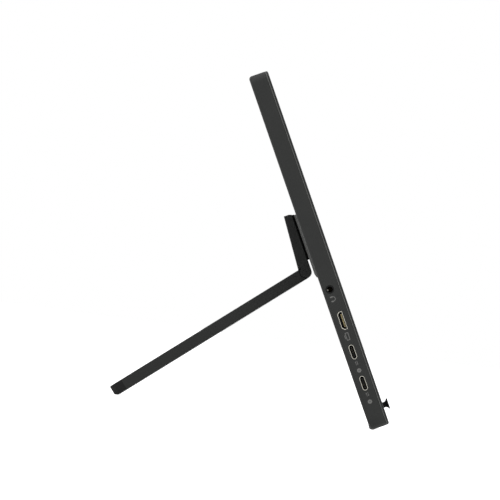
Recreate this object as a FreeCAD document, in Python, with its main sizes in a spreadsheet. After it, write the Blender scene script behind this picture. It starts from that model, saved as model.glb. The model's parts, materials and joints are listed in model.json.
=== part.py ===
import FreeCAD, Part
import math
import os
import Sketcher
from types import SimpleNamespace

# A portable monitor that leans back on a hinged rear stand, made of separate pieces, in millimetres.
# It stands on the plane Z = 0, its screen faces -Y and +X is the viewer's right.
# Most pieces are drawn in the slab's own frame: X along the width, Y from the front face to the back,
# Z from the bottom edge up the slab. The slab frame is then leaned back until both feet are level.

SIZES = {
    # Slab: outside, seam and walls
    "slab_width": 356.0,
    "slab_height": 223.3,
    "corner_round": 7.0,
    "bezel_depth": 1.6,
    "side_wall": 1.8,
    "back_wall": 1.5,
    "back_edge_round": 2.0,
    "front_edge_round": 1.3,
    "seam_bevel": 0.25,
    # Clearances shared by several fits, and the overrun of every cut
    "fit_gap": 0.15,
    "slip_gap": 0.05,
    "thread_gap": 0.02,
    "cut_overrun": 1.0,
    # Front bezel: window, lip inside the rear cover, bosses
    "window_bevel": 0.5,
    "lip_wall": 1.0,
    "lip_depth": 1.2,
    "boss_radius": 2.4,
    # Screws that hold the rear cover to the bezel's bosses
    "cover_screw_radius": 0.9,
    "cover_screw_length": 8.0,
    "cover_screw_head": 1.9,
    "cover_screw_rise": 6.6,
    "cover_screw_inset": 13.0,
    "cover_screw_clear": 17.0,
    "slot_width": 0.5,
    "slot_depth": 0.4,
    # Screen stack, from the bezel backwards
    "gasket_depth": 0.3,
    "cell_depth": 1.0,
    "diffuser_depth": 0.3,
    "guide_depth": 0.7,
    "reflector_depth": 0.2,
    "tray_depth": 0.3,
    "tray_rim": 0.4,
    "layer_gap": 0.2,
    "gasket_inset": 0.8,
    "panel_side_border": 2.2,
    "panel_top_border": 2.2,
    "panel_bottom_border": 5.6,
    "panel_side_gap": 0.75,
    "panel_top_gap": 1.55,
    "panel_ledge": 2.6,
    "post_radius": 2.4,
    "post_side_inset": 88.0,
    "post_end_inset": 45.5,
    # Lamp bar along the light guide's bottom edge
    "lamp_bar_height": 1.0,
    "lamp_height": 0.6,
    "lamp_width": 3.0,
    "lamp_pitch": 11.0,
    "lamp_margin": 8.0,
    # Driver board behind the panel's bottom edge, and its flex tabs
    "driver_inset": 94.3,
    "driver_height": 11.0,
    "driver_depth": 0.7,
    "driver_lift": 5.2,
    "tab_depth": 0.1,
    "tab_gap": 0.15,
    "tab_drop": 1.2,
    "tab_grip": 2.2,
    "tab_width": 16.0,
    "tab_pitch": 26.0,
    "tab_margin": 2.0,
    # Main board on standoffs of the rear cover
    "board_width": 62.0,
    "board_depth": 1.0,
    "board_low_margin": 12.5,
    "board_high_margin": 11.0,
    "board_wall_gap": 1.2,
    "standoff_height": 1.3,
    "board_hole_inset": 4.0,
    "standoff_radius": 2.4,
    "board_screw_radius": 0.9,
    "board_screw_head": 1.7,
    "board_screw_head_depth": 0.7,
    "board_screw_reach": 0.5,
    "scaler_side": 14.0,
    "scaler_depth": 1.2,
    "memory_width": 8.0,
    "memory_height": 6.0,
    "memory_depth": 1.0,
    "memory_pitch": 10.0,
    "inductor_side": 6.0,
    "inductor_depth": 2.4,
    "inductor_pitch": 9.0,
    "chip_inset": 18.0,
    # Sockets in the left side: their clearances, then each kind from the bottom up
    "socket_clear": 0.6,
    "socket_recess": 0.3,
    "socket_gap": 0.15,
    "data_low_rise": 28.1,
    "data_pitch": 19.7,
    "data_length": 8.94,
    "data_height": 3.2,
    "data_reach": 7.2,
    "data_tongue_length": 6.7,
    "data_tongue_height": 0.7,
    "data_tongue_recess": 1.6,
    "shell_wall": 0.3,
    "video_pitch": 19.7,
    "video_length": 11.2,
    "video_height": 3.3,
    "video_corner": 1.3,
    "video_reach": 7.6,
    "video_tongue_length": 8.4,
    "video_tongue_height": 0.8,
    "video_tongue_recess": 1.4,
    "video_tongue_shift": 0.6,
    "tongue_base": 1.2,
    "audio_pitch": 20.1,
    "audio_bore": 1.8,
    "audio_nose_radius": 2.4,
    "audio_body_height": 6.4,
    "audio_body_depth": 4.6,
    "audio_end_wall": 1.1,
    "audio_bore_length": 11.0,
    "audio_contact_radius": 1.4,
    "audio_contact_depth": 0.5,
    # Flat cables
    "cable_depth": 0.15,
    "cable_grip": 8.0,
    "cable_ramp": 14.0,
    "display_cable_width": 9.0,
    "joystick_cable_width": 3.4,
    "cable_clear": 0.6,
    "cable_margin": 0.7,
    # Speakers behind slots in the back
    "speaker_width": 46.0,
    "speaker_height": 11.0,
    "speaker_depth": 4.6,
    "speaker_rise": 3.4,
    "speaker_inset": 98.0,
    "speaker_round": 1.2,
    "grille_slot": 1.5,
    "grille_pitch": 4.0,
    "grille_margin": 2.6,
    "grille_end": 4.0,
    # Joystick on the front, worked from the front face
    "joystick_inset": 38.0,
    "joystick_rise": 10.5,
    "joystick_drop": 6.9,
    "joystick_hole": 2.7,
    "cap_reach": 3.8,
    "cap_radius": 3.3,
    "cap_rim": 0.7,
    "cap_lip": 0.3,
    "cap_dish": 0.35,
    "cap_base_radius": 1.9,
    "cap_base_rise": 0.1,
    "cap_sunk": 0.8,
    "cap_neck_share": 0.64,
    "stem_radius": 0.8,
    "stem_in_cap": 1.3,
    "stem_tail": 1.0,
    "case_gap": 0.6,
    "case_side": 8.4,
    "press_room": 0.45,
    "case_lid": 0.5,
    "case_floor": 0.5,
    "lid_hole": 2.0,
    "carrier_radius": 3.4,
    "carrier_wall": 0.75,
    "carrier_height": 2.3,
    "gimbal_gap": 0.25,
    "gimbal_wall": 0.9,
    "gimbal_height": 1.1,
    "trunnion_radius": 0.3,
    "trunnion_shy": 0.2,
    "dome_radius": 2.2,
    "dome_depth": 0.2,
    "stick_board_width": 26.0,
    "stick_board_below": 6.2,
    "stick_board_depth": 0.8,
    "stick_screw_spread": 19.0,
    "stick_boss_radius": 1.9,
    "stick_screw_radius": 0.8,
    "stick_screw_head": 1.6,
    "stick_screw_head_depth": 0.7,
    "stick_screw_length": 3.4,
    # Rear stand: mount plate, pad and bracket
    "stand_width": 200.0,
    "plate_depth": 1.1,
    "plate_drop": 5.2,
    "plate_taper": 2.2,
    "plate_edge": 0.4,
    "plate_top_inset": 1.2,
    "pad_depth": 1.0,
    "pad_lift": 6.8,
    "pad_inset": 1.0,
    "pad_top_inset": 0.9,
    "bracket_height": 35.7,
    "bracket_top_depth": 5.1,
    "bracket_top_run": 1.9,
    "bracket_top_fall": 0.7,
    "bracket_side_round": 0.6,
    # Screws and inserts that hold the bracket, driven from inside the slab
    "stand_screw_side": 30.0,
    "stand_screw_lift": 13.4,
    "stand_screw_drop": 7.1,
    "stand_screw_radius": 1.2,
    "stand_screw_head": 2.3,
    "stand_screw_head_depth": 1.1,
    "insert_radius": 1.9,
    "insert_length": 3.4,
    # Hinge
    "hinge_rise": 102.4,
    "barrel_radius": 3.5,
    "barrel_gap": 0.35,
    "heel_gap": 0.05,
    "heel_reach": 3.3,
    "end_knuckle": 32.0,
    "middle_knuckle": 44.0,
    "knuckle_gap": 0.4,
    "pin_radius": 1.25,
    "sleeve_wall": 0.7,
    "sleeve_slit": 0.5,
    "cap_depth": 1.4,
    # Leg, drawn from the hinge axis out along the leg
    "leg_droop": 12.6,
    "leg_length": 136.4,
    "leg_depth": 6.85,
    "leg_offset": 0.255,
    "leg_edge_round": 0.8,
    "leg_skin": 2.0,
    "leg_land": 14.0,
    "leg_side_land": 10.0,
    "stiffener_depth": 1.0,
    "leg_cover_depth": 1.5,
    "leg_rib": 2.0,
    "leg_rib_pitch": 60.0,
    "foot_length": 8.0,
    "foot_round": 2.0,
    "foot_top_round": 0.8,
    "foot_corner_round": 4.0,
    "foot_tongue": 4.0,
    "foot_tongue_depth": 2.0,
    "foot_tongue_inset": 6.0,
    "foot_flat": 0.2,
    # Two strips let into the slab's bottom back edge
    "strip_proud": 0.2,
    "strip_inlay": 0.5,
    "strip_flat": 0.08,
    "strip_length": 70.0,
    "strip_inset": 58.0,
}

X_AXIS = FreeCAD.Vector(1, 0, 0)
Y_AXIS = FreeCAD.Vector(0, 1, 0)
TOUCH = 1e-4
FULL_TURN = 360
QUARTER_TURN = 90
MEMORY_COUNT = 2
INDUCTOR_COUNT = 3
RIB_COUNT = 3

doc = FreeCAD.newDocument("portable_monitor")
sheet = doc.addObject("Spreadsheet::Sheet", "sizes")
for row, (alias, number) in enumerate(SIZES.items(), 1):
    sheet.set(f"A{row}", alias.replace("_", " "))
    sheet.set(f"B{row}", str(number))
    sheet.setAlias(f"B{row}", alias)
doc.recompute()


class Size:
    """A number worked out from the sheet, with the formula that gives it there."""

    def __init__(self, number, formula):
        self.number = number
        self.formula = formula

    def __add__(self, other):
        return joined(self, "+", other, self.number + sized(other).number)

    def __radd__(self, other):
        return sized(other) + self

    def __sub__(self, other):
        return joined(self, "-", other, self.number - sized(other).number)

    def __rsub__(self, other):
        return sized(other) - self

    def __mul__(self, other):
        return joined(self, "*", other, self.number * sized(other).number)

    def __rmul__(self, other):
        return sized(other) * self

    def __truediv__(self, other):
        return joined(self, "/", other, self.number / sized(other).number)

    def __neg__(self):
        return Size(-self.number, f"(-{self.formula})")


def sized(value):
    """The value as a Size, where a plain number stands for itself."""
    return value if isinstance(value, Size) else Size(float(value), str(value))


def joined(left, sign, right, number):
    return Size(number, f"({left.formula} {sign} {sized(right).formula})")


def sine(angle):
    return Size(math.sin(math.radians(angle.number)), f"sin({angle.formula})")


def cosine(angle):
    return Size(math.cos(math.radians(angle.number)), f"cos({angle.formula})")


def root(value):
    return Size(math.sqrt(value.number), f"sqrt({value.formula})")


def larger(first, second):
    return Size(max(first.number, second.number), f"max({first.formula}; {second.formula})")


def copies(room, pitch):
    """How many copies at the pitch fit between two middles that lie a room apart."""
    number = math.floor(room.number / pitch.number) + 1
    return Size(number, f"(floor({room.formula} / {pitch.formula}) + 1)")


def slope(rise, run):
    """The angle in degrees of a line that goes up by rise over run."""
    angle = math.degrees(math.atan2(rise.number, run.number))
    return Size(angle, f"(atan2({rise.formula}; {run.formula}) / 1 deg)")


def arcsine(value):
    return Size(math.degrees(math.asin(value.number)), f"(asin({value.formula}) / 1 deg)")


def bind(target, path, value):
    target.setExpression(path, sized(value).formula)


dim = SimpleNamespace(**{alias: Size(number, f"sizes.{alias}") for alias, number in SIZES.items()})

# Places in the slab frame that several pieces share. The slab's depth is the sum of what lies in it.
half_width = dim.slab_width / 2
inner_half_width = half_width - dim.side_wall
inner_top = dim.slab_height - dim.side_wall
lip_reach = dim.fit_gap + dim.lip_wall
panel_half_width = inner_half_width - lip_reach - dim.panel_side_gap
panel_bottom = dim.joystick_rise + dim.joystick_drop
panel_top = inner_top - lip_reach - dim.panel_top_gap
view_half_width = panel_half_width - dim.panel_side_border
view_bottom = panel_bottom + dim.panel_bottom_border
view_top = panel_top - dim.panel_top_border
cell_front = dim.bezel_depth + dim.gasket_depth
cell_back = cell_front + dim.cell_depth
diffuser_back = cell_back + dim.diffuser_depth
guide_back = diffuser_back + dim.guide_depth
reflector_back = guide_back + dim.reflector_depth
tray_back = reflector_back + dim.tray_depth
tray_bottom = panel_bottom + dim.panel_ledge
layer_half_width = panel_half_width - dim.tray_rim - dim.layer_gap
layer_bottom = tray_bottom + dim.tray_rim + dim.layer_gap
layer_top = panel_top - dim.tray_rim - dim.layer_gap
lamp_top = layer_bottom + dim.lamp_bar_height + dim.lamp_height
driver_front = tray_back + dim.tab_gap + dim.tab_depth
driver_back = driver_front + dim.driver_depth
driver_half_width = panel_half_width - dim.driver_inset
driver_rise = panel_bottom + dim.driver_lift
board_front = tray_back + dim.socket_clear + larger(dim.data_height, dim.video_height)
board_back = board_front + dim.board_depth
inner_back = board_back + dim.standoff_height
slab_depth = inner_back + dim.back_wall
data_line = board_front - dim.data_height / 2
video_line = board_front - dim.video_height / 2
audio_line = (tray_back + inner_back) / 2
data_high_rise = dim.data_low_rise + dim.data_pitch
video_rise = data_high_rise + dim.video_pitch
audio_rise = video_rise + dim.audio_pitch
board_left = -inner_half_width + dim.board_wall_gap
board_right = board_left + dim.board_width
board_bottom = dim.data_low_rise - dim.board_low_margin
board_top = audio_rise + dim.board_high_margin
socket_mouth = -half_width + dim.socket_recess
cable_low = board_bottom + dim.board_hole_inset + dim.standoff_radius + dim.cable_clear
speaker_side = half_width - dim.speaker_inset
joystick_side = half_width - dim.joystick_inset
strip_side = half_width - dim.strip_inset
plate_back = slab_depth + dim.plate_depth
bracket_front = plate_back + dim.pad_depth
bracket_top = dim.hinge_rise + dim.bracket_height
hinge_back = bracket_front + dim.barrel_radius
stand_half_width = dim.stand_width / 2
middle_half_knuckle = dim.middle_knuckle / 2
sleeve_radius = dim.pin_radius + dim.slip_gap + dim.sleeve_wall
strip_radius = dim.back_edge_round + dim.strip_proud
strip_seat = dim.back_edge_round - dim.strip_inlay
leg_top = dim.leg_depth / 2 - dim.leg_offset
leg_under = leg_top - dim.leg_depth
foot_start = dim.leg_length - dim.foot_length
pocket_end = foot_start - dim.leg_land
pocket_half_width = stand_half_width - dim.leg_side_land
pocket_floor = leg_top - dim.leg_skin
leg_cover_top = leg_under + dim.leg_cover_depth

# Joystick levels along its own axis, measured out from the front face
case_front = -(dim.bezel_depth + dim.case_gap)
lid_back = case_front - dim.case_lid
carrier_front = lid_back - dim.slip_gap
carrier_back = carrier_front - dim.carrier_height
pivot = carrier_front - dim.carrier_height / 2
case_floor = carrier_back - dim.press_room - dim.dome_depth
case_back = case_floor - dim.case_floor
stick_board_back = case_back - dim.stick_board_depth
carrier_inner = dim.carrier_radius - dim.carrier_wall
gimbal_radius = carrier_inner - dim.gimbal_gap
gimbal_inner = gimbal_radius - dim.gimbal_wall


def leg_point(along, above):
    """A point of the leg's middle section, given in the slab frame's Y and Z."""
    back = hinge_back + along * cosine(dim.leg_droop) + above * sine(dim.leg_droop)
    rise = dim.hinge_rise - along * sine(dim.leg_droop) + above * cosine(dim.leg_droop)
    return back, rise


# The stance: how far the slab leans back so that the strips and the leg's foot lie on one level plane
strip_centre = (slab_depth - dim.back_edge_round, dim.back_edge_round)
foot_centre = leg_point(dim.leg_length - dim.foot_round, leg_under + dim.foot_round)
strip_rest = strip_radius - dim.strip_flat
foot_rest = dim.foot_round - dim.foot_flat
rest_run = foot_centre[0] - strip_centre[0]
rest_rise = foot_centre[1] - strip_centre[1]
rest_span = root(rest_run * rest_run + rest_rise * rest_rise)
lean = slope(rest_rise, rest_run) - arcsine((foot_rest - strip_rest) / rest_span)

stance = doc.addObject("App::VarSet", "stance")


def stance_value(name, value):
    """Keeps a worked-out value in the document, so that later formulas stay short."""
    stance.addProperty("App::PropertyFloat", name)
    bind(stance, name, value)
    return Size(value.number, f"stance.{name}")


tilt = stance_value("tilt", lean)
lean_sine = stance_value("lean_sine", sine(tilt))
lean_cosine = stance_value("lean_cosine", cosine(tilt))
hinge_y = hinge_back * lean_cosine + dim.hinge_rise * lean_sine
leg_slope = tilt + dim.leg_droop
front_limit = dim.front_edge_round * (lean_cosine + lean_sine - 1)
back_limit = (
    hinge_y
    + (dim.leg_length - dim.foot_top_round) * cosine(leg_slope)
    + (leg_top - dim.foot_top_round) * sine(leg_slope)
    + dim.foot_top_round
)
floor_level = strip_centre[1] * lean_cosine - strip_centre[0] * lean_sine - strip_rest
shift_y = stance_value("shift_y", -(front_limit + back_limit) / 2)
shift_z = stance_value("shift_z", -floor_level)
doc.recompute()


class Frame:
    """A frame turned about X from the slab frame, with its origin at a point of the slab frame."""

    def __init__(self, side, back, rise, turn):
        self.side = sized(side)
        self.back = sized(back)
        self.rise = sized(rise)
        self.turn = sized(turn)

    def carry(self, body):
        """Binds the body's placement to this frame, leaned back with the slab."""
        body.Placement = FreeCAD.Placement(FreeCAD.Vector(), FreeCAD.Rotation(X_AXIS, QUARTER_TURN))
        bind(body, "Placement.Base.x", self.side)
        bind(body, "Placement.Base.y", shift_y + self.back * lean_cosine + self.rise * lean_sine)
        bind(body, "Placement.Base.z", shift_z + self.rise * lean_cosine - self.back * lean_sine)
        bind(body, "Placement.Rotation.Angle", self.turn - tilt)


SLAB = Frame(0, 0, 0, 0)
LEG = Frame(0, hinge_back, dim.hinge_rise, -dim.leg_droop)
STICK = Frame(joystick_side, 0, dim.joystick_rise, QUARTER_TURN)

pieces = []


class Arc:
    """Marks the outline's edge from a point to the next as an arc, bulging left or right of its way."""

    def __init__(self, radius, left):
        self.radius = sized(radius)
        self.left = left


class Piece:
    """One sub-part: a body with a label, carried by a frame, and the features that build it."""

    def __init__(self, label, frame=SLAB):
        self.body = doc.addObject("PartDesign::Body", label)
        self.body.Label = label
        self.body.AllowCompound = True
        frame.carry(self.body)
        pieces.append(self)

    def origin(self, role):
        return next(item for item in self.body.Origin.OriginFeatures if item.Role == role)

    def grow(self, feature):
        """Makes the feature the body's tip and stops where it failed."""
        self.body.Tip = feature
        doc.recompute()
        if "Invalid" in feature.State or feature.Shape.isNull():
            raise RuntimeError(f"{self.body.Label}: {feature.Name} failed")
        return feature

    def shrink(self, feature, before):
        """As grow, for a cut, which has to take material away."""
        self.grow(feature)
        if feature.Shape.Volume >= before - TOUCH:
            raise RuntimeError(f"{self.body.Label}: {feature.Name} cut nothing")
        return feature

    def box(self, name, side, back, rise, cut=False):
        """A block between pairs of limits along X, Y and Z, added or cut away."""
        before = self.body.Shape.Volume if cut else 0
        kind = "PartDesign::SubtractiveBox" if cut else "PartDesign::AdditiveBox"
        block = self.body.newObject(kind, name)
        for path, limits in (("x", side), ("y", back), ("z", rise)):
            bind(block, f"Placement.Base.{path}", limits[0])
        for path, limits in (("Length", side), ("Width", back), ("Height", rise)):
            bind(block, path, limits[1] - limits[0])
        return self.shrink(block, before) if cut else self.grow(block)

    def rod(self, name, axis, centre, span, radius, cut=False):
        """A round bar along an axis through a centre in the other two, added or cut away."""
        before = self.body.Shape.Volume if cut else 0
        kind = "PartDesign::SubtractiveCylinder" if cut else "PartDesign::AdditiveCylinder"
        bar = self.body.newObject(kind, name)
        turn = {
            "x": FreeCAD.Rotation(Y_AXIS, QUARTER_TURN),
            "y": FreeCAD.Rotation(X_AXIS, -QUARTER_TURN),
            "z": FreeCAD.Rotation(),
        }[axis]
        bar.Placement = FreeCAD.Placement(FreeCAD.Vector(), turn)
        places = dict(zip([other for other in "xyz" if other != axis], centre))
        places[axis] = span[0]
        for path, place in places.items():
            bind(bar, f"Placement.Base.{path}", place)
        bind(bar, "Radius", radius)
        bind(bar, "Height", sized(span[1]) - span[0])
        return self.shrink(bar, before) if cut else self.grow(bar)

    def outline(self, name, role, level, corners):
        """A closed sketch through corners, each a pair of places with an Arc where the next edge bends."""
        sketch = self.body.newObject("Sketcher::SketchObject", name)
        sketch.AttachmentSupport = (self.origin(role), [""])
        sketch.MapMode = "FlatFace"
        bind(sketch, "AttachmentOffset.Base.z", level)
        spots = [FreeCAD.Vector(sized(c[0]).number, sized(c[1]).number, 0) for c in corners]
        joints = []
        for index, corner in enumerate(corners):
            start = spots[index]
            end = spots[(index + 1) % len(spots)]
            joints.append(draw_edge(sketch, start, end, corner[2] if len(corner) > 2 else None))
        for index, (edge, _, last) in enumerate(joints):
            following, first, _ = joints[(index + 1) % len(joints)]
            sketch.addConstraint(Sketcher.Constraint("Coincident", edge, last, following, first))
        for index, corner in enumerate(corners):
            edge, first, _ = joints[index]
            for kind, value, spot in (
                ("DistanceX", corner[0], spots[index].x),
                ("DistanceY", corner[1], spots[index].y),
            ):
                place = sketch.addConstraint(Sketcher.Constraint(kind, -1, 1, edge, first, spot))
                bind(sketch, f"Constraints[{place}]", value)
        for (edge, _, _), corner in zip(joints, corners):
            if len(corner) > 2:
                bend = sketch.addConstraint(Sketcher.Constraint("Radius", edge, corner[2].radius.number))
                bind(sketch, f"Constraints[{bend}]", corner[2].radius)
        doc.recompute()
        return sketch

    def prism(self, name, corners, span, cut=False):
        """An outline in Y and Z drawn out along X between two limits, added or cut away."""
        before = self.body.Shape.Volume if cut else 0
        sketch = self.outline(f"{name}_outline", "YZ_Plane", span[1] if cut else span[0], corners)
        feature = self.body.newObject("PartDesign::Pocket" if cut else "PartDesign::Pad", name)
        feature.Profile = sketch
        bind(feature, "Length", span[1] - span[0])
        return self.shrink(feature, before) if cut else self.grow(feature)

    def ribbon(self, name, corners, span):
        """An outline in X and Y drawn out along Z between two limits."""
        sketch = self.outline(f"{name}_outline", "XY_Plane", span[0], corners)
        feature = self.body.newObject("PartDesign::Pad", name)
        feature.Profile = sketch
        bind(feature, "Length", span[1] - span[0])
        return self.grow(feature)

    def turned(self, name, corners):
        """An outline of radii and heights turned about the frame's Z axis."""
        sketch = self.outline(f"{name}_outline", "XZ_Plane", 0, corners)
        feature = self.body.newObject("PartDesign::Revolution", name)
        feature.Profile = sketch
        feature.ReferenceAxis = (sketch, ["V_Axis"])
        feature.Angle = FULL_TURN
        return self.grow(feature)

    def rounded(self, name, radius, chosen):
        """Rounds the tip's edges for which chosen is true."""
        tip = self.body.Tip
        edges = [f"Edge{n}" for n, edge in enumerate(tip.Shape.Edges, 1) if chosen(edge)]
        feature = self.body.newObject("PartDesign::Fillet", name)
        feature.Base = (tip, edges)
        bind(feature, "Radius", radius)
        return self.grow(feature)

    def bevelled(self, name, width, chosen):
        tip = self.body.Tip
        edges = [f"Edge{n}" for n, edge in enumerate(tip.Shape.Edges, 1) if chosen(edge)]
        feature = self.body.newObject("PartDesign::Chamfer", name)
        feature.Base = (tip, edges)
        bind(feature, "Size", width)
        return self.grow(feature)

    def row(self, name, features, axis, length, count):
        """Repeats features along an axis, count times over a length."""
        feature = self.body.newObject("PartDesign::LinearPattern", name)
        feature.Originals = features
        feature.Direction = (self.origin(f"{axis}_Axis"), [""])
        bind(feature, "Length", length)
        bind(feature, "Occurrences", count)
        return self.grow(feature)


def draw_edge(sketch, start, end, arc):
    """Draws one edge and gives its number and which of its ends are first and last along the outline."""
    if arc is None:
        return sketch.addGeometry(Part.LineSegment(start, end), False), 1, 2
    chord = end - start
    aside = FreeCAD.Vector(-chord.y, chord.x, 0).normalize()
    if arc.left:
        aside = -aside
    radius = arc.radius.number
    centre = (start + end) / 2 + aside * math.sqrt(radius**2 - chord.Length**2 / 4)
    angles = [math.atan2(spot.y - centre.y, spot.x - centre.x) for spot in (start, end)]
    first = 1
    if (angles[1] - angles[0]) % (2 * math.pi) > math.pi:
        angles.reverse()
        first = 2
    circle = Part.Circle(centre, FreeCAD.Vector(0, 0, 1), radius)
    return sketch.addGeometry(Part.ArcOfCircle(circle, *angles), False), first, 3 - first


def runs_along(edge, axis):
    """True for a straight edge along the axis x, y or z."""
    if not isinstance(edge.Curve, Part.Line):
        return False
    return abs(abs(getattr(edge.Curve.Direction, axis)) - 1) < TOUCH


def near(value, place):
    return abs(value - sized(place).number) < TOUCH


def lies_at(edge, axis, place):
    """True where the whole edge lies in the plane across the axis at the place."""
    box = edge.BoundBox
    upper = axis.upper()
    return near(getattr(box, f"{upper}Min"), place) and near(getattr(box, f"{upper}Max"), place)


def is_corner(edge, reach):
    """True for an edge along Y at the reach to either side."""
    return runs_along(edge, "y") and near(abs(edge.CenterOfMass.x), reach)


def mirrored_pair(half):
    return (-half, half)


def slot_outline(line, rise, length, height, grow):
    """A slot with round ends, standing along Z."""
    half = height / 2 + grow
    reach = (length - height) / 2
    return [
        (line + half, rise - reach),
        (line + half, rise + reach, Arc(half, False)),
        (line, rise + reach + half, Arc(half, False)),
        (line - half, rise + reach),
        (line - half, rise - reach, Arc(half, False)),
        (line, rise - reach - half, Arc(half, False)),
    ]


def video_outline(grow):
    """The video socket's outline, with its two back corners cut off."""
    front = video_line - dim.video_height / 2 - grow
    back = video_line + dim.video_height / 2 + grow
    low = video_rise - dim.video_length / 2 - grow
    high = video_rise + dim.video_length / 2 + grow
    return [
        (front, low),
        (back - dim.video_corner, low),
        (back, low + dim.video_corner),
        (back, high - dim.video_corner),
        (back - dim.video_corner, high),
        (front, high),
    ]


def data_outline(rise, grow):
    return slot_outline(data_line, rise, dim.data_length, dim.data_height, grow)


def strip_spans():
    """The X spans of the two strips under the slab."""
    half = dim.strip_length / 2
    return [(middle - half, middle + half) for middle in mirrored_pair(strip_side)]


def strip_groove():
    """The groove for a strip, round the slab's bottom back edge and open to the outside."""
    back, rise = strip_centre
    out = dim.back_edge_round + dim.cut_overrun
    return [
        (back, rise - strip_seat, Arc(strip_seat, False)),
        (back + strip_seat, rise),
        (back + out, rise),
        (back + out, rise - out),
        (back, rise - out),
    ]


def cover_screw_places():
    """The X places of the four cover screws, from left to right."""
    outer = half_width - dim.cover_screw_inset
    inner = speaker_side - dim.speaker_width / 2 - dim.cover_screw_clear
    return [-outer, -inner, inner, outer]


def board_screw_places():
    """The main board's four screws, as X and Z places."""
    inset = dim.board_hole_inset
    return [
        (side, rise)
        for side in (board_left + inset + dim.data_reach, board_right - inset)
        for rise in (board_bottom + inset, board_top - inset)
    ]


def stand_screw_places():
    """The bracket's four screws, as X and Z places."""
    half = stand_half_width - dim.stand_screw_side
    rises = (dim.hinge_rise + dim.stand_screw_lift, bracket_top - dim.stand_screw_drop)
    return [(side, rise) for side in (-half, half) for rise in rises]


def knuckle_spans(of_leg, grow):
    """The X spans of the leg's or the bracket's knuckles, each longer by grow at both ends."""
    inner = middle_half_knuckle
    outer = stand_half_width - dim.end_knuckle
    gap = dim.knuckle_gap
    if of_leg:
        spans = [(-outer + gap, -inner - gap), (inner + gap, outer - gap)]
    else:
        spans = [(-stand_half_width, -outer), (-inner, inner), (outer, stand_half_width)]
    return [(low - grow, high + grow) for low, high in spans]


def rear_cover():
    piece = Piece("rear_cover")
    side = mirrored_pair(half_width)
    piece.box("outside", side, (dim.bezel_depth, slab_depth), (sized(0), dim.slab_height))
    hollow = (dim.bezel_depth - dim.cut_overrun, inner_back)
    inner_side = mirrored_pair(inner_half_width)
    piece.box("inside", inner_side, hollow, (dim.side_wall, inner_top), cut=True)
    inner_round = dim.corner_round - dim.side_wall
    piece.rounded("inside_corners", inner_round, lambda edge: is_corner(edge, inner_half_width))
    piece.rounded("corners", dim.corner_round, lambda edge: is_corner(edge, half_width))
    piece.rounded("back_edge", dim.back_edge_round, lambda edge: lies_at(edge, "y", slab_depth))
    piece.bevelled(
        "seam",
        dim.seam_bevel,
        lambda edge: lies_at(edge, "y", dim.bezel_depth) and is_outer(edge),
    )
    for span in strip_spans():
        piece.prism("strip_groove", strip_groove(), span, cut=True)
    socket_cut = (-half_width - dim.cut_overrun, -inner_half_width + dim.cut_overrun)
    for name, rise in (("data_low", dim.data_low_rise), ("data_high", data_high_rise)):
        piece.prism(f"{name}_opening", data_outline(rise, dim.socket_gap), socket_cut, cut=True)
    piece.prism("video_opening", video_outline(dim.socket_gap), socket_cut, cut=True)
    nose = dim.audio_nose_radius + dim.socket_gap
    piece.rod("audio_opening", "x", (audio_line, audio_rise), socket_cut, nose, cut=True)
    back_cut = (inner_back - dim.cut_overrun, slab_depth + dim.cut_overrun)
    for side in cover_screw_places():
        radius = dim.cover_screw_radius + dim.fit_gap
        piece.rod("screw_hole", "y", (side, dim.cover_screw_rise), back_cut, radius, cut=True)
        head = (slab_depth - dim.back_wall / 2, slab_depth + dim.cut_overrun)
        radius = dim.cover_screw_head + dim.fit_gap
        piece.rod("screw_recess", "y", (side, dim.cover_screw_rise), head, radius, cut=True)
    for side, rise in stand_screw_places():
        radius = dim.stand_screw_radius + dim.fit_gap
        piece.rod("stand_hole", "y", (side, rise), back_cut, radius, cut=True)
    for side, rise in board_screw_places():
        piece.rod("standoff", "y", (side, rise), (board_back, inner_back), dim.standoff_radius)
        hole = (board_back - dim.cut_overrun, inner_back + dim.board_screw_reach + dim.fit_gap)
        radius = dim.board_screw_radius + dim.thread_gap
        piece.rod("standoff_hole", "y", (side, rise), hole, radius, cut=True)
    for side in mirrored_pair(half_width - dim.post_side_inset):
        for rise in (panel_bottom + dim.post_end_inset, panel_top - dim.post_end_inset):
            span = (tray_back + dim.fit_gap, inner_back)
            piece.rod("panel_post", "y", (side, rise), span, dim.post_radius)
    slots = copies(dim.speaker_width - dim.grille_slot - 2 * dim.grille_end, dim.grille_pitch)
    grille = dim.grille_pitch * (slots - 1)
    for side in mirrored_pair(speaker_side):
        start = side - grille / 2 - dim.grille_slot / 2
        rise = (
            dim.speaker_rise + dim.grille_margin,
            dim.speaker_rise + dim.speaker_height - dim.grille_margin,
        )
        slot = piece.box("grille_slot", (start, start + dim.grille_slot), back_cut, rise, cut=True)
        piece.row("grille", [slot], "X", grille, slots)


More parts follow.
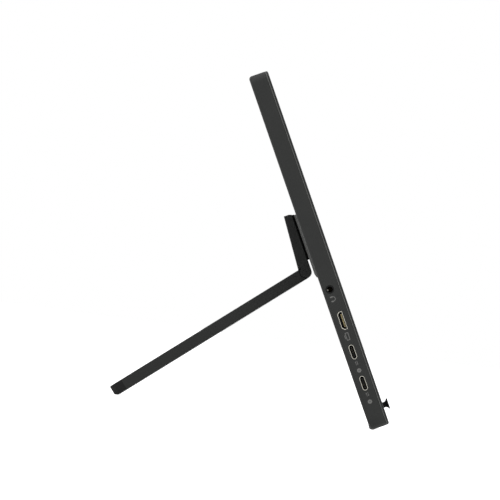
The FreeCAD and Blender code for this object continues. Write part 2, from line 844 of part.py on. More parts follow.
def front_bezel():
    piece = Piece("front_bezel")
    side = mirrored_pair(half_width)
    piece.box("outside", side, (sized(0), dim.bezel_depth), (sized(0), dim.slab_height))
    piece.rounded("corners", dim.corner_round, lambda edge: runs_along(edge, "y"))
    piece.rounded("front_edge", dim.front_edge_round, lambda edge: lies_at(edge, "y", 0))
    piece.bevelled("seam", dim.seam_bevel, lambda edge: lies_at(edge, "y", dim.bezel_depth))
    through = (-dim.cut_overrun, dim.bezel_depth + dim.cut_overrun)
    window = mirrored_pair(view_half_width)
    piece.box("window", window, through, (view_bottom, view_top), cut=True)
    piece.bevelled(
        "window_bevel",
        dim.window_bevel,
        lambda edge: lies_at(edge, "y", 0) and is_of_window(edge),
    )
    outer = inner_half_width - dim.fit_gap
    inner = outer - dim.lip_wall
    outer_rise = (dim.side_wall + dim.fit_gap, inner_top - dim.fit_gap)
    inner_rise = (outer_rise[0] + dim.lip_wall, outer_rise[1] - dim.lip_wall)
    clear = dim.corner_round
    depth = (dim.bezel_depth, dim.bezel_depth + dim.lip_depth)
    for name, across in (("lip_left", (-outer, -inner)), ("lip_right", (inner, outer))):
        piece.box(name, across, depth, (inner_rise[0] + clear, inner_rise[1] - clear))
    for name, rise in (
        ("lip_bottom", (outer_rise[0], inner_rise[0])),
        ("lip_top", (inner_rise[1], outer_rise[1])),
    ):
        piece.box(name, (-inner + clear, inner - clear), depth, rise)
    hole = (joystick_side, dim.joystick_rise)
    piece.rod("joystick_hole", "y", hole, through, dim.joystick_hole, cut=True)
    for side in cover_screw_places():
        place = (side, dim.cover_screw_rise)
        span = (dim.bezel_depth, inner_back - dim.fit_gap)
        piece.rod("cover_boss", "y", place, span, dim.boss_radius)
        bottom = slab_depth - dim.back_wall / 2 - dim.cover_screw_length - dim.fit_gap
        radius = dim.cover_screw_radius + dim.thread_gap
        piece.rod("cover_boss_hole", "y", place, (bottom, inner_back), radius, cut=True)
    for side in mirrored_pair(dim.stick_screw_spread / 2):
        place = (joystick_side + side, dim.joystick_rise)
        piece.rod("stick_boss", "y", place, (dim.bezel_depth, -case_back), dim.stick_boss_radius)
        bottom = -case_back - dim.stick_screw_length - dim.fit_gap
        radius = dim.stick_screw_radius + dim.thread_gap
        span = (bottom, dim.cut_overrun - case_back)
        piece.rod("stick_boss_hole", "y", place, span, radius, cut=True)


def is_outer(edge):
    """True for an edge of the slab's outline, which reaches one of its four sides."""
    box = edge.BoundBox
    sides = near(box.XMin, -half_width) or near(box.XMax, half_width)
    return sides or near(box.ZMin, 0) or near(box.ZMax, dim.slab_height)


def is_of_window(edge):
    """True for an edge that lies on the window's four sides."""
    middle = edge.CenterOfMass
    upright = near(abs(middle.x), view_half_width)
    return upright or near(middle.z, view_bottom) or near(middle.z, view_top)


def screen_layers():
    """The screen stack: gasket, cell, three sheets and the tray that holds them."""
    across = mirrored_pair(panel_half_width)
    gasket = Piece("panel_gasket")
    gasket.box("sheet", across, (dim.bezel_depth, cell_front), (panel_bottom, panel_top))
    inset = dim.gasket_inset
    gasket.box(
        "window",
        mirrored_pair(view_half_width + inset),
        (dim.bezel_depth - dim.cut_overrun, cell_front + dim.cut_overrun),
        (view_bottom - inset, view_top + inset),
        cut=True,
    )
    cell = Piece("lcd_panel")
    cell.box("sheet", across, (cell_front, cell_back), (panel_bottom, panel_top))
    layer_side = mirrored_pair(layer_half_width)
    guide_rise = (lamp_top + dim.layer_gap, layer_top)
    for name, front, back, rise in (
        ("diffuser_sheet", cell_back, diffuser_back, (layer_bottom, layer_top)),
        ("light_guide", diffuser_back, guide_back, guide_rise),
        ("reflector_sheet", guide_back, reflector_back, (layer_bottom, layer_top)),
    ):
        Piece(name).box("sheet", layer_side, (front, back), rise)
    tray = Piece("panel_tray")
    tray.box("outside", across, (cell_back, tray_back), (tray_bottom, panel_top))
    tray.box(
        "inside",
        mirrored_pair(panel_half_width - dim.tray_rim),
        (cell_back - dim.cut_overrun, reflector_back),
        (tray_bottom + dim.tray_rim, panel_top - dim.tray_rim),
        cut=True,
    )


def lamp_bar():
    piece = Piece("lamp_bar")
    bar_top = layer_bottom + dim.lamp_bar_height
    depth = (diffuser_back, guide_back)
    piece.box("strip", mirrored_pair(layer_half_width), depth, (layer_bottom, bar_top))
    lamps = copies(2 * (layer_half_width - dim.lamp_margin), dim.lamp_pitch)
    length = dim.lamp_pitch * (lamps - 1)
    start = -length / 2 - dim.lamp_width / 2
    lamp = piece.box("lamp", (start, start + dim.lamp_width), depth, (bar_top, lamp_top))
    piece.row("lamps", [lamp], "X", length, lamps)


def driver_board():
    piece = Piece("panel_driver_board")
    rise = (driver_rise, driver_rise + dim.driver_height)
    piece.box("board", mirrored_pair(driver_half_width), (driver_front, driver_back), rise)
    tabs = Piece("panel_flex_tabs")
    low = panel_bottom - dim.tab_drop
    high = tray_bottom - dim.layer_gap
    grip = driver_rise + dim.tab_grip
    back = driver_front - dim.tab_depth
    corners = [
        (cell_back, high),
        (cell_back, low),
        (driver_front, low),
        (driver_front, grip),
        (back, grip),
        (back, low + dim.tab_depth),
        (cell_back + dim.tab_depth, low + dim.tab_depth),
        (cell_back + dim.tab_depth, high),
    ]
    tab_room = 2 * (driver_half_width - dim.tab_margin) - dim.tab_width
    tab_count = copies(tab_room, dim.tab_pitch)
    length = dim.tab_pitch * (tab_count - 1)
    start = -length / 2 - dim.tab_width / 2
    tab = tabs.prism("tab", corners, (start, start + dim.tab_width))
    tabs.row("tabs", [tab], "X", length, tab_count)


def main_board():
    piece = Piece("main_board")
    depth = (board_front, board_back)
    piece.box("board", (board_left, board_right), depth, (board_bottom, board_top))
    through = (board_front - dim.cut_overrun, board_back + dim.cut_overrun)
    notch_end = audio_end() + dim.fit_gap
    half = dim.audio_body_height / 2 + dim.fit_gap
    rise = (audio_rise - half, audio_rise + half)
    piece.box("audio_notch", (board_left - dim.cut_overrun, notch_end), through, rise, cut=True)
    for side, rise in board_screw_places():
        radius = dim.board_screw_radius + dim.fit_gap
        piece.rod("screw_hole", "y", (side, rise), through, radius, cut=True)
    chips(board_left + dim.board_width / 2)


def chips(middle):
    """The parts on the board's front: the scaler, memory beside it and inductors below."""
    scaler = Piece("scaler_chip")
    half = dim.scaler_side / 2
    centre = video_rise
    span = (middle - half, middle + half)
    scaler.box("chip", span, (board_front - dim.scaler_depth, board_front), (centre - half, centre + half))
    memory = Piece("memory_chips")
    start = board_right - dim.chip_inset
    rise = centre - dim.memory_pitch / 2 - dim.memory_height / 2
    depth = (board_front - dim.memory_depth, board_front)
    chip = memory.box("chip", (start, start + dim.memory_width), depth, (rise, rise + dim.memory_height))
    memory.row("pair", [chip], "Z", dim.memory_pitch, MEMORY_COUNT)
    inductors = Piece("power_inductors")
    start = middle - dim.inductor_side / 2
    rise = dim.data_low_rise - dim.inductor_side / 2
    depth = (board_front - dim.inductor_depth, board_front)
    side = dim.inductor_side
    coil = inductors.box("coil", (start, start + side), depth, (rise, rise + side))
    inductors.row("coils", [coil], "Z", dim.inductor_pitch * (INDUCTOR_COUNT - 1), INDUCTOR_COUNT)


def side_sockets():
    """The two data sockets and the video socket: a drawn shell with a tongue on a base inside."""
    wall = dim.shell_wall
    for label, rise in (("lower", dim.data_low_rise), ("upper", data_high_rise)):
        shell = Piece(f"data_socket_{label}_shell")
        back = socket_mouth + dim.data_reach
        shell.prism("shell", data_outline(rise, sized(0)), (socket_mouth, back))
        bore = (socket_mouth - dim.cut_overrun, back - wall)
        shell.prism("inside", data_outline(rise, -wall), bore, cut=True)
        tongue = Piece(f"data_socket_{label}_tongue")
        half_length = dim.data_tongue_length / 2
        half_height = dim.data_tongue_height / 2
        tongue.box(
            "tongue",
            (socket_mouth + dim.data_tongue_recess, back - wall),
            (data_line - half_height, data_line + half_height),
            (rise - half_length, rise + half_length),
        )
        base = (back - wall - dim.tongue_base, back - wall)
        tongue.prism("base", data_outline(rise, -wall - dim.thread_gap), base)
    shell = Piece("video_socket_shell")
    back = socket_mouth + dim.video_reach
    shell.prism("shell", video_outline(sized(0)), (socket_mouth, back))
    bore = (socket_mouth - dim.cut_overrun, back - wall)
    shell.prism("inside", video_outline(-wall), bore, cut=True)
    tongue = Piece("video_socket_tongue")
    half_length = dim.video_tongue_length / 2
    half_height = dim.video_tongue_height / 2
    line = video_line - dim.video_tongue_shift
    tongue.box(
        "tongue",
        (socket_mouth + dim.video_tongue_recess, back - wall),
        (line - half_height, line + half_height),
        (video_rise - half_length, video_rise + half_length),
    )
    base = (back - wall - dim.tongue_base, back - wall)
    tongue.prism("base", video_outline(-wall - dim.thread_gap), base)


def audio_end():
    """The inner end of the audio jack, past its bore and the contact."""
    return socket_mouth + dim.audio_bore_length + dim.audio_contact_depth + dim.audio_end_wall


def audio_jack():
    piece = Piece("audio_jack_body")
    half_height = dim.audio_body_height / 2
    half_depth = dim.audio_body_depth / 2
    place = (audio_line, audio_rise)
    block_start = -inner_half_width + dim.fit_gap
    piece.box(
        "block",
        (block_start, audio_end()),
        (audio_line - half_depth, audio_line + half_depth),
        (audio_rise - half_height, audio_rise + half_height),
    )
    piece.rod("nose", "x", place, (socket_mouth, block_start), dim.audio_nose_radius)
    outside = socket_mouth - dim.cut_overrun
    bore_end = socket_mouth + dim.audio_bore_length
    seat_end = bore_end + dim.audio_contact_depth
    piece.rod("bore", "x", place, (outside, bore_end), dim.audio_bore, cut=True)
    piece.rod("contact_seat", "x", place, (outside, seat_end), dim.audio_contact_radius, cut=True)
    contact = Piece("audio_jack_contact")
    contact.rod("disc", "x", place, (bore_end, seat_end), dim.audio_contact_radius - dim.thread_gap)


def flat_cables():
    """The flat cables from the main board to the screen's driver board and to the joystick board."""
    thick = dim.cable_depth
    grip = dim.cable_grip
    display = Piece("display_cable")
    start = board_right - grip
    landing = -driver_half_width
    corners = [
        (start, board_front),
        (start, board_front - thick),
        (board_right, board_front - thick),
        (board_right + dim.cable_ramp, driver_back),
        (landing + grip, driver_back),
        (landing + grip, driver_back + thick),
        (board_right + dim.cable_ramp, driver_back + thick),
        (board_right, board_front),
    ]
    low = larger(driver_rise, cable_low)
    display.ribbon("strip", corners, (low, low + dim.display_cable_width))
    joystick = Piece("joystick_cable")
    board_end = joystick_side - dim.stick_board_width / 2
    stick_back = -stick_board_back
    corners = [
        (start, board_back),
        (board_right, board_back),
        (board_right + dim.cable_ramp, inner_back - thick),
        (board_end - dim.cable_ramp, inner_back - thick),
        (board_end, stick_back),
        (board_end + grip / 2, stick_back),
        (board_end + grip / 2, stick_back + thick),
        (board_end, stick_back + thick),
        (board_end - dim.cable_ramp, inner_back),
        (board_right + dim.cable_ramp, inner_back),
        (board_right, board_back + thick),
        (start, board_back + thick),
    ]
    joystick.ribbon("strip", corners, (cable_low, cable_low + dim.joystick_cable_width))


def speakers():
    for label, middle in zip(("left", "right"), mirrored_pair(speaker_side)):
        piece = Piece(f"speaker_{label}")
        half = dim.speaker_width / 2
        depth = (inner_back - dim.speaker_depth, inner_back)
        rise = (dim.speaker_rise, dim.speaker_rise + dim.speaker_height)
        piece.box("box", (middle - half, middle + half), depth, rise)
        piece.rounded("corners", dim.speaker_round, lambda edge: runs_along(edge, "y"))


def casing_screws():
    """The cover screws, with slotted cylinder heads in their recesses, and the main board's screws."""
    screws = Piece("cover_screws")
    seat = slab_depth - dim.back_wall / 2
    top = slab_depth - dim.fit_gap
    for side in cover_screw_places():
        place = (side, dim.cover_screw_rise)
        screws.rod("shank", "y", place, (seat - dim.cover_screw_length, seat), dim.cover_screw_radius)
        screws.rod("head", "y", place, (seat, top), dim.cover_screw_head)
        half = dim.slot_width / 2
        reach = dim.cover_screw_head + dim.cut_overrun
        slot = (top - dim.slot_depth, top + dim.cut_overrun)
        rise = (dim.cover_screw_rise - reach, dim.cover_screw_rise + reach)
        screws.box("slot", (side - half, side + half), slot, rise, cut=True)
    board = Piece("board_screws")
    for side, rise in board_screw_places():
        tip = inner_back + dim.board_screw_reach
        board.rod("shank", "y", (side, rise), (board_front, tip), dim.board_screw_radius)
        head = (board_front - dim.board_screw_head_depth, board_front)
        board.rod("head", "y", (side, rise), head, dim.board_screw_head)


def joystick_switch():
    """The fixed part of the joystick: case, lid, snap dome, board and its two screws."""
    half = dim.case_side / 2
    square = mirrored_pair(half)
    case = Piece("joystick_case", STICK)
    case.box("block", square, square, (case_back, lid_back))
    bore = dim.carrier_radius + dim.slip_gap
    axis = (sized(0), sized(0))
    case.rod("bore", "z", axis, (case_floor, lid_back + dim.cut_overrun), bore, cut=True)
    lid = Piece("joystick_lid", STICK)
    lid.box("plate", square, square, (lid_back, case_front))
    over = (lid_back - dim.cut_overrun, case_front + dim.cut_overrun)
    lid.rod("hole", "z", axis, over, dim.lid_hole, cut=True)
    dome = Piece("joystick_dome", STICK)
    dome.rod("disc", "z", axis, (case_floor, case_floor + dim.dome_depth), dim.dome_radius)
    board = Piece("joystick_board", STICK)
    across = mirrored_pair(dim.stick_board_width / 2)
    board_above = cable_low + dim.joystick_cable_width + dim.cable_margin - dim.joystick_rise
    upright = (-dim.stick_board_below, board_above)
    board.box("board", across, upright, (stick_board_back, case_back))
    screws = Piece("joystick_screws", STICK)
    for side in mirrored_pair(dim.stick_screw_spread / 2):
        place = (side, sized(0))
        hole = (stick_board_back - dim.cut_overrun, case_back + dim.cut_overrun)
        radius = dim.stick_screw_radius + dim.fit_gap
        board.rod("hole", "z", place, hole, radius, cut=True)
        tip = case_back + dim.stick_screw_length
        screws.rod("shank", "z", place, (stick_board_back, tip), dim.stick_screw_radius)
        head = (stick_board_back - dim.stick_screw_head_depth, stick_board_back)
        screws.rod("head", "z", place, head, dim.stick_screw_head)


def joystick_moving_parts():
    """The carrier that travels inwards, the gimbal in it, and the stem with its cap."""
    axis = (sized(0), sized(0))
    carrier = Piece("joystick_carrier", STICK)
    carrier.rod("ring", "z", axis, (carrier_back, carrier_front), dim.carrier_radius)
    over = (carrier_back - dim.cut_overrun, carrier_front + dim.cut_overrun)
    carrier.rod("inside", "z", axis, over, carrier_inner, cut=True)
    hole = dim.trunnion_radius + dim.slip_gap
    across = dim.carrier_radius + dim.cut_overrun
    carrier.rod("pivot_holes", "x", (sized(0), pivot), mirrored_pair(across), hole, cut=True)
    gimbal = Piece("joystick_gimbal", STICK)
    half = dim.gimbal_height / 2
    reach = dim.carrier_radius - dim.trunnion_shy
    gimbal.rod("trunnions", "x", (sized(0), pivot), mirrored_pair(reach), dim.trunnion_radius)
    gimbal.rod("ring", "z", axis, (pivot - half, pivot + half), gimbal_radius)
    over = (pivot - half - dim.cut_overrun, pivot + half + dim.cut_overrun)
    gimbal.rod("inside", "z", axis, over, gimbal_inner, cut=True)
    across = gimbal_radius + dim.cut_overrun
    gimbal.rod("pivot_holes", "y", (sized(0), pivot), mirrored_pair(across), hole, cut=True)
    stem = Piece("joystick_stem", STICK)
    stem_top = dim.stem_in_cap
    stem.rod("rod", "z", axis, (pivot - dim.stem_tail, stem_top), dim.stem_radius)
    reach = gimbal_radius - dim.trunnion_shy
    stem.rod("cross_pin", "y", (sized(0), pivot), mirrored_pair(reach), dim.trunnion_radius)
    cap = Piece("joystick_cap", STICK)
    bore = dim.stem_radius + dim.thread_gap
    dish_edge = dim.cap_radius - dim.cap_lip
    dish_bend = (dish_edge * dish_edge + dim.cap_dish * dim.cap_dish) / (2 * dim.cap_dish)
    rim_base = dim.cap_reach - dim.cap_rim
    flare = dim.cap_radius - dim.cap_base_radius
    neck = rim_base - dim.cap_base_rise
    neck_bend = dim.cap_neck_share * root(flare * flare + neck * neck)
    cap.turned(
        "spool",
        [
            (sized(0), stem_top + dim.thread_gap),
            (bore, stem_top + dim.thread_gap),
            (bore, -dim.cap_sunk),
            (dim.cap_base_radius, -dim.cap_sunk),
            (dim.cap_base_radius, dim.cap_base_rise, Arc(neck_bend, True)),
            (dim.cap_radius, rim_base),
            (dim.cap_radius, dim.cap_reach - dim.cap_lip, Arc(dim.cap_lip, False)),
            (dish_edge, dim.cap_reach, Arc(dish_bend, True)),
            (sized(0), dim.cap_reach - dim.cap_dish),
        ],
    )


def mount_plate():
    piece = Piece("mount_plate")
    back = slab_depth
    bottom = dim.hinge_rise - dim.plate_drop
    top = bracket_top - dim.plate_top_inset
    corners = [
        (back, bottom),
        (back + dim.plate_edge, bottom),
        (plate_back, bottom + dim.plate_taper),
        (plate_back, top),
        (back, top),
    ]
    piece.prism("plate", corners, mirrored_pair(stand_half_width - dim.pad_inset))
    pad = Piece("bracket_pad")
    span = mirrored_pair(stand_half_width - dim.pad_inset)
    pad_rise = (dim.hinge_rise + dim.pad_lift, bracket_top - dim.pad_top_inset)
    pad.box("pad", span, (plate_back, bracket_front), pad_rise)
    over = (slab_depth - dim.cut_overrun, bracket_front + dim.cut_overrun)
    radius = dim.stand_screw_radius + dim.fit_gap
    for side, rise in stand_screw_places():
        for sheet_piece in (piece, pad):
            sheet_piece.rod("screw_hole", "y", (side, rise), over, radius, cut=True)


def stand_bracket():
    """The wedge-shaped leaf on the slab's back, with its knuckles and a heel that stops the leg."""
    piece = Piece("stand_bracket")
    heel_level = leg_top + dim.heel_gap
    heel = leg_point(dim.heel_reach, heel_level)
    heel_root = leg_point(sized(0), heel_level)
    top_back = bracket_front + dim.bracket_top_depth
    corners = [
        (bracket_front, dim.hinge_rise),
        (hinge_back, dim.hinge_rise),
        heel_root,
        heel,
        (top_back, bracket_top),
        (bracket_front + dim.bracket_top_run, bracket_top),
        (bracket_front, bracket_top - dim.bracket_top_fall),
    ]
    side = mirrored_pair(stand_half_width)
    piece.prism("wedge", corners, side)
    piece.rounded(
        "side_edges",
        dim.bracket_side_round,
        lambda edge: lies_at(edge, "x", -stand_half_width) or lies_at(edge, "x", stand_half_width),
    )
    axis = (hinge_back, dim.hinge_rise)
    piece.rod("barrel", "x", axis, side, dim.barrel_radius)
    room = dim.barrel_radius + dim.barrel_gap
    for span in knuckle_spans(True, dim.knuckle_gap):
        piece.rod("leg_knuckle_room", "x", axis, span, room, cut=True)
    over = stand_half_width + dim.cut_overrun
    bore = dim.pin_radius + dim.slip_gap
    piece.rod("pin_bore", "x", axis, mirrored_pair(over), bore, cut=True)
    inner = stand_half_width - dim.end_knuckle - dim.knuckle_gap
    for span in ((-over, -inner), (inner, over)):
        piece.rod("sleeve_bore", "x", axis, span, sleeve_radius + dim.thread_gap, cut=True)
    for side, rise in stand_screw_places():
        span = (bracket_front - dim.cut_overrun, bracket_front + dim.insert_length + dim.fit_gap)
        radius = dim.insert_radius + dim.thread_gap
        piece.rod("insert_bore", "y", (side, rise), span, radius, cut=True)


def bracket_fasteners():
    inserts = Piece("bracket_inserts")
    screws = Piece("bracket_screws")
    end = bracket_front + dim.insert_length
    for side, rise in stand_screw_places():
        inserts.rod("sleeve", "y", (side, rise), (bracket_front, end), dim.insert_radius)
        over = (bracket_front - dim.cut_overrun, end + dim.cut_overrun)
        radius = dim.stand_screw_radius + dim.thread_gap
        inserts.rod("thread", "y", (side, rise), over, radius, cut=True)
        head = (inner_back - dim.stand_screw_head_depth, inner_back)
        screws.rod("shank", "y", (side, rise), (inner_back, end), dim.stand_screw_radius)
        screws.rod("head", "y", (side, rise), head, dim.stand_screw_head)


def hinge_parts():
    """The pin fixed in the leg, the split sleeves that grip it, and the end caps."""
    axis = (sized(0), sized(0))
    inside = stand_half_width - dim.cap_depth
    pin = Piece("hinge_pin", LEG)
    pin.rod("pin", "x", axis, mirrored_pair(inside - dim.fit_gap), dim.pin_radius)
    sleeves = Piece("friction_sleeves")
    caps = Piece("hinge_caps")
    place = (hinge_back, dim.hinge_rise)
    inner = stand_half_width - dim.end_knuckle
    for sleeve, cap in (
        ((-inside, -inner), (-stand_half_width, -inside)),
        ((inner, inside), (inside, stand_half_width)),
    ):
        sleeves.rod("band", "x", place, sleeve, sleeve_radius)
        over = (sleeve[0] - dim.cut_overrun, sleeve[1] + dim.cut_overrun)
        sleeves.rod("bore", "x", place, over, dim.pin_radius + dim.slip_gap, cut=True)
        half = dim.sleeve_slit / 2
        slit = (hinge_back - half, hinge_back + half)
        rise = (dim.hinge_rise, dim.hinge_rise + sleeve_radius + dim.cut_overrun)
        sleeves.box("slit", over, slit, rise, cut=True)
        caps.rod("cap", "x", place, cap, sleeve_radius)


def leg_shell():
    piece = Piece("leg_shell", LEG)
    side = mirrored_pair(stand_half_width)
    piece.box("plate", side, (sized(0), foot_start), (leg_under, leg_top))
    piece.rounded("side_edges", dim.leg_edge_round, lambda edge: runs_along(edge, "y"))
    under = (leg_under - dim.cut_overrun, pocket_floor)
    pocket = (dim.leg_land, pocket_end)
    piece.box("pocket", mirrored_pair(pocket_half_width), pocket, under, cut=True)
    half = dim.foot_tongue_depth / 2 + dim.fit_gap
    slot = (foot_start - dim.foot_tongue - dim.fit_gap, foot_start + dim.cut_overrun)
    slot_side = stand_half_width - dim.foot_tongue_inset + dim.fit_gap
    piece.box("foot_slot", mirrored_pair(slot_side), slot, mirrored_pair(half), cut=True)
    axis = (sized(0), sized(0))
    room = dim.barrel_radius + dim.barrel_gap
    for span in knuckle_spans(False, dim.knuckle_gap):
        piece.rod("bracket_knuckle_room", "x", axis, span, room, cut=True)
    for span in knuckle_spans(True, sized(0)):
        piece.rod("barrel", "x", axis, span, dim.barrel_radius)
        bore = dim.pin_radius + dim.thread_gap
        over = (span[0] - dim.cut_overrun, span[1] + dim.cut_overrun)
        piece.rod("pin_bore", "x", axis, over, bore, cut=True)


def leg_filling():
    """The steel stiffener in the leg's pocket, and the ribbed cover that closes it from below."""
    gap = dim.fit_gap
    side = mirrored_pair(pocket_half_width - gap)
    along = (dim.leg_land + gap, pocket_end - gap)
    stiffener_base = pocket_floor - dim.stiffener_depth
    stiffener = Piece("leg_stiffener", LEG)
    stiffener.box("plate", side, along, (stiffener_base, pocket_floor))
    cover = Piece("leg_cover", LEG)
    cover.box("plate", side, along, (leg_under, leg_cover_top))
    length = dim.leg_rib_pitch * (RIB_COUNT - 1)
    start = -length / 2 - dim.leg_rib / 2
    rib = cover.box("rib", (start, start + dim.leg_rib), along, (leg_cover_top, stiffener_base))
    cover.row("ribs", [rib], "X", length, RIB_COUNT)


def leg_foot():
    """The rubber end of the leg, with a tongue in the shell and a flat where it stands."""
    piece = Piece("leg_foot", LEG)
    across = mirrored_pair(stand_half_width)
    piece.box("tip", across, (foot_start, dim.leg_length), (leg_under, leg_top))
    at_end = dim.leg_length

    def end_edge(edge, level):
        return runs_along(edge, "x") and lies_at(edge, "y", at_end) and lies_at(edge, "z", level)

    piece.rounded(
        "corners",
        dim.foot_corner_round,
        lambda edge: runs_along(edge, "z") and lies_at(edge, "y", at_end),
    )
    piece.rounded("lower_end", dim.foot_round, lambda edge: end_edge(edge, leg_under))
    piece.rounded("upper_end", dim.foot_top_round, lambda edge: end_edge(edge, leg_top))
    tongue_side = mirrored_pair(stand_half_width - dim.foot_tongue_inset)
    half = dim.foot_tongue_depth / 2
    piece.box("tongue", tongue_side, (foot_start - dim.foot_tongue, foot_start), mirrored_pair(half))
    centre = (dim.leg_length - dim.foot_round, leg_under + dim.foot_round)
    floor_cut(piece, mirrored_pair(stand_half_width + dim.cut_overrun), centre, foot_rest, leg_slope)


def floor_cut(piece, side, centre, rest, turn):
    """Cuts a flat at the standing plane, which lies at the rest distance below a rounding's centre."""
    before = piece.body.Shape.Volume
    block = piece.body.newObject("PartDesign::SubtractiveBox", "floor_flat")
    block.Placement = FreeCAD.Placement(FreeCAD.Vector(), FreeCAD.Rotation(X_AXIS, QUARTER_TURN))
    reach = strip_radius + dim.foot_round
    drop = rest + reach
    bind(block, "Placement.Rotation.Angle", turn)
    bind(block, "Placement.Base.x", side[0])
    bind(block, "Placement.Base.y", centre[0] - reach * cosine(turn) + drop * sine(turn))
    bind(block, "Placement.Base.z", centre[1] - reach * sine(turn) - drop * cosine(turn))
    bind(block, "Length", side[1] - side[0])
    bind(block, "Width", 2 * reach)
    bind(block, "Height", reach)
    piece.shrink(block, before)


def bottom_feet():
    """Two rubber strips let into the slab's rounded bottom back edge."""
    piece = Piece("bottom_feet")
    for span in strip_spans():
        strip = piece.rod("strip", "x", strip_centre, span, strip_radius)
        strip.Angle = QUARTER_TURN
        over = (span[0] - dim.cut_overrun, span[1] + dim.cut_overrun)
        piece.rod("seat", "x", strip_centre, over, strip_seat, cut=True)
    floor_cut(piece, mirrored_pair(half_width), strip_centre, strip_rest, tilt)


def build():
    rear_cover()
    front_bezel()
    screen_layers()
    lamp_bar()
    driver_board()
    main_board()
    side_sockets()
    audio_jack()
    flat_cables()
    speakers()
    casing_screws()
    joystick_switch()
    joystick_moving_parts()
    mount_plate()
    stand_bracket()
    bracket_fasteners()
    hinge_parts()
    leg_shell()
    leg_filling()
    leg_foot()
    bottom_feet()
    doc.recompute()


def check():
    """Stops if any object failed or any piece is empty or not valid."""
    for item in doc.Objects:
        if "Invalid" in item.State or "Error" in item.State:
            raise RuntimeError(f"{item.Label} failed: {item.State}")
    for piece in pieces:
        shape = piece.body.Shape
        if shape.isNull() or not shape.isValid() or not shape.Solids:
            raise RuntimeError(f"{piece.body.Label} has no valid shape")


def write():
    os.makedirs("parts", exist_ok=True)
    for piece in pieces:
        piece.body.Shape.exportStep(f"parts/{piece.body.Label}.step")
        print(piece.body.Label, len(piece.body.Shape.Solids), round(piece.body.Shape.Volume, 2))


build()
check()
write()
print("tilt", round(tilt.number, 3), "shift", round(shift_y.number, 3), round(shift_z.number, 3))
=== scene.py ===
import json
import math

import bmesh
import bpy
from bpy.props import FloatProperty, FloatVectorProperty, IntProperty, PointerProperty
from mathutils import Matrix, Vector


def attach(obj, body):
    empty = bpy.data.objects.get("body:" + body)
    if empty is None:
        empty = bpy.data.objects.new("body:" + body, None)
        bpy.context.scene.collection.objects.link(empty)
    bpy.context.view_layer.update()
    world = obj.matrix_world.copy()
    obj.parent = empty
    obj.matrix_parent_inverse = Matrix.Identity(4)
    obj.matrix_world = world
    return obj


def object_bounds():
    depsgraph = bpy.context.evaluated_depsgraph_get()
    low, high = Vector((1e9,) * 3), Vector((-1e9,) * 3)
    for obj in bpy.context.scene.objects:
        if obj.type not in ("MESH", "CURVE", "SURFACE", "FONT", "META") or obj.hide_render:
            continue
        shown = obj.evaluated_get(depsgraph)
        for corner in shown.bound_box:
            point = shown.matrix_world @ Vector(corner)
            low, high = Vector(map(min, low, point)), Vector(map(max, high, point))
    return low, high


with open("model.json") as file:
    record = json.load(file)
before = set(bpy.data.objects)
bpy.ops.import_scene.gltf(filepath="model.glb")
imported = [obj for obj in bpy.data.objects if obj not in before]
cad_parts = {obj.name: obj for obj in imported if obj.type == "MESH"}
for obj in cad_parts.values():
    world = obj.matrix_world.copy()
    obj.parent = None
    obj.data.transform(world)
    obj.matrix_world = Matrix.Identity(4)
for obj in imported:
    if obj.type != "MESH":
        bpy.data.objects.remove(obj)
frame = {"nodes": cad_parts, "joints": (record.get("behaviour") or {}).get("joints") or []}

bl_info = {
    "name": "Portable monitor looks",
    "version": (1, 0, 0),
    "blender": (4, 5, 0),
    "location": "View3D > Sidebar > Monitor",
    "description": "Finishes, contacts and printed marks of a portable monitor on a hinged rear stand",
    "category": "Object",
}

MM = 0.001
CAD_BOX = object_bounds()

# The leaning slab's own axes: across it, from its front to its back, and up along it
JOINTS = {joint["name"]: joint for joint in frame["joints"]}
ACROSS = Vector((1, 0, 0))
INWARD = Vector(JOINTS["joystick_press"]["axis"])
UPWARD = Vector(JOINTS["joystick_tilt_left_right"]["axis"])
SLAB = Matrix((ACROSS, INWARD, UPWARD)).transposed().to_4x4()
LEAN = math.atan2(UPWARD.y, UPWARD.z)
# A sheet on the screen faces the front, with its top up the slab
FACING = Matrix((ACROSS, UPWARD, -INWARD)).transposed().to_4x4()
# A printed mark on the left side reads down the slab, with its top to the front
PRINT = Matrix((-UPWARD, -INWARD, -ACROSS)).transposed().to_4x4()

# Sockets of the colour mix node, which has a set for each kind of data
MIX_FACTOR, MIX_FIRST, MIX_SECOND, MIX_RESULT = 0, 6, 7, 2
QUARTER_TURN = math.pi / 2
HALF_TURN = math.pi
WHITE = (1, 1, 1, 1)
# Roundings of a headphone cup and of a printed bar, as shares of their widths
CUP_ROUND_SHARE = 1 / 3
BAR_ROUND_SHARE = 1 / 4
# A wedge of the spark lies this share of its width beside the middle
SPARK_SIDE_SHARE = 1 / 6
# The spark's cutter is this many times as tall as the print
CUTTER_SHARE = 3
# The camera sees this many times as far as the object is
SIGHT_SHARE = 4
# A wave pattern of scale one has this pitch
WAVE_PITCH = math.tau / 20


def linear(code):
    """An sRGB hex colour as linear red, green and blue."""
    shares = [int(code[place:place + 2], 16) / 255 for place in (1, 3, 5)]
    return [s / 12.92 if s <= 0.04045 else ((s + 0.055) / 1.055) ** 2.4 for s in shares]


def opaque(colour):
    return (*colour, 1.0)


def toned(colour, share):
    """The colour made lighter or darker by a share."""
    return [min(1.0, channel * share) for channel in colour]


def tone_pair(colour, dark_share, pale_share):
    """A darker and a paler tone of a colour, as the two ends of a mix."""
    return {
        MIX_FIRST: opaque(toned(colour, dark_share)),
        MIX_SECOND: opaque(toned(colour, pale_share)),
    }


def about(middle, change):
    """A range that reaches as far below its middle as above it."""
    return {"To Min": middle - change, "To Max": middle + change}


def per_size(size):
    """The scale of a pattern whose features are about this size."""
    return 1 / size


def length(name, description, millimetres):
    return FloatProperty(
        name=name, description=description, default=millimetres * MM, min=0, unit="LENGTH", precision=5
    )


def colour(name, description, code):
    return FloatVectorProperty(
        name=name, description=description, default=linear(code), min=0, max=1, size=3, subtype="COLOR"
    )


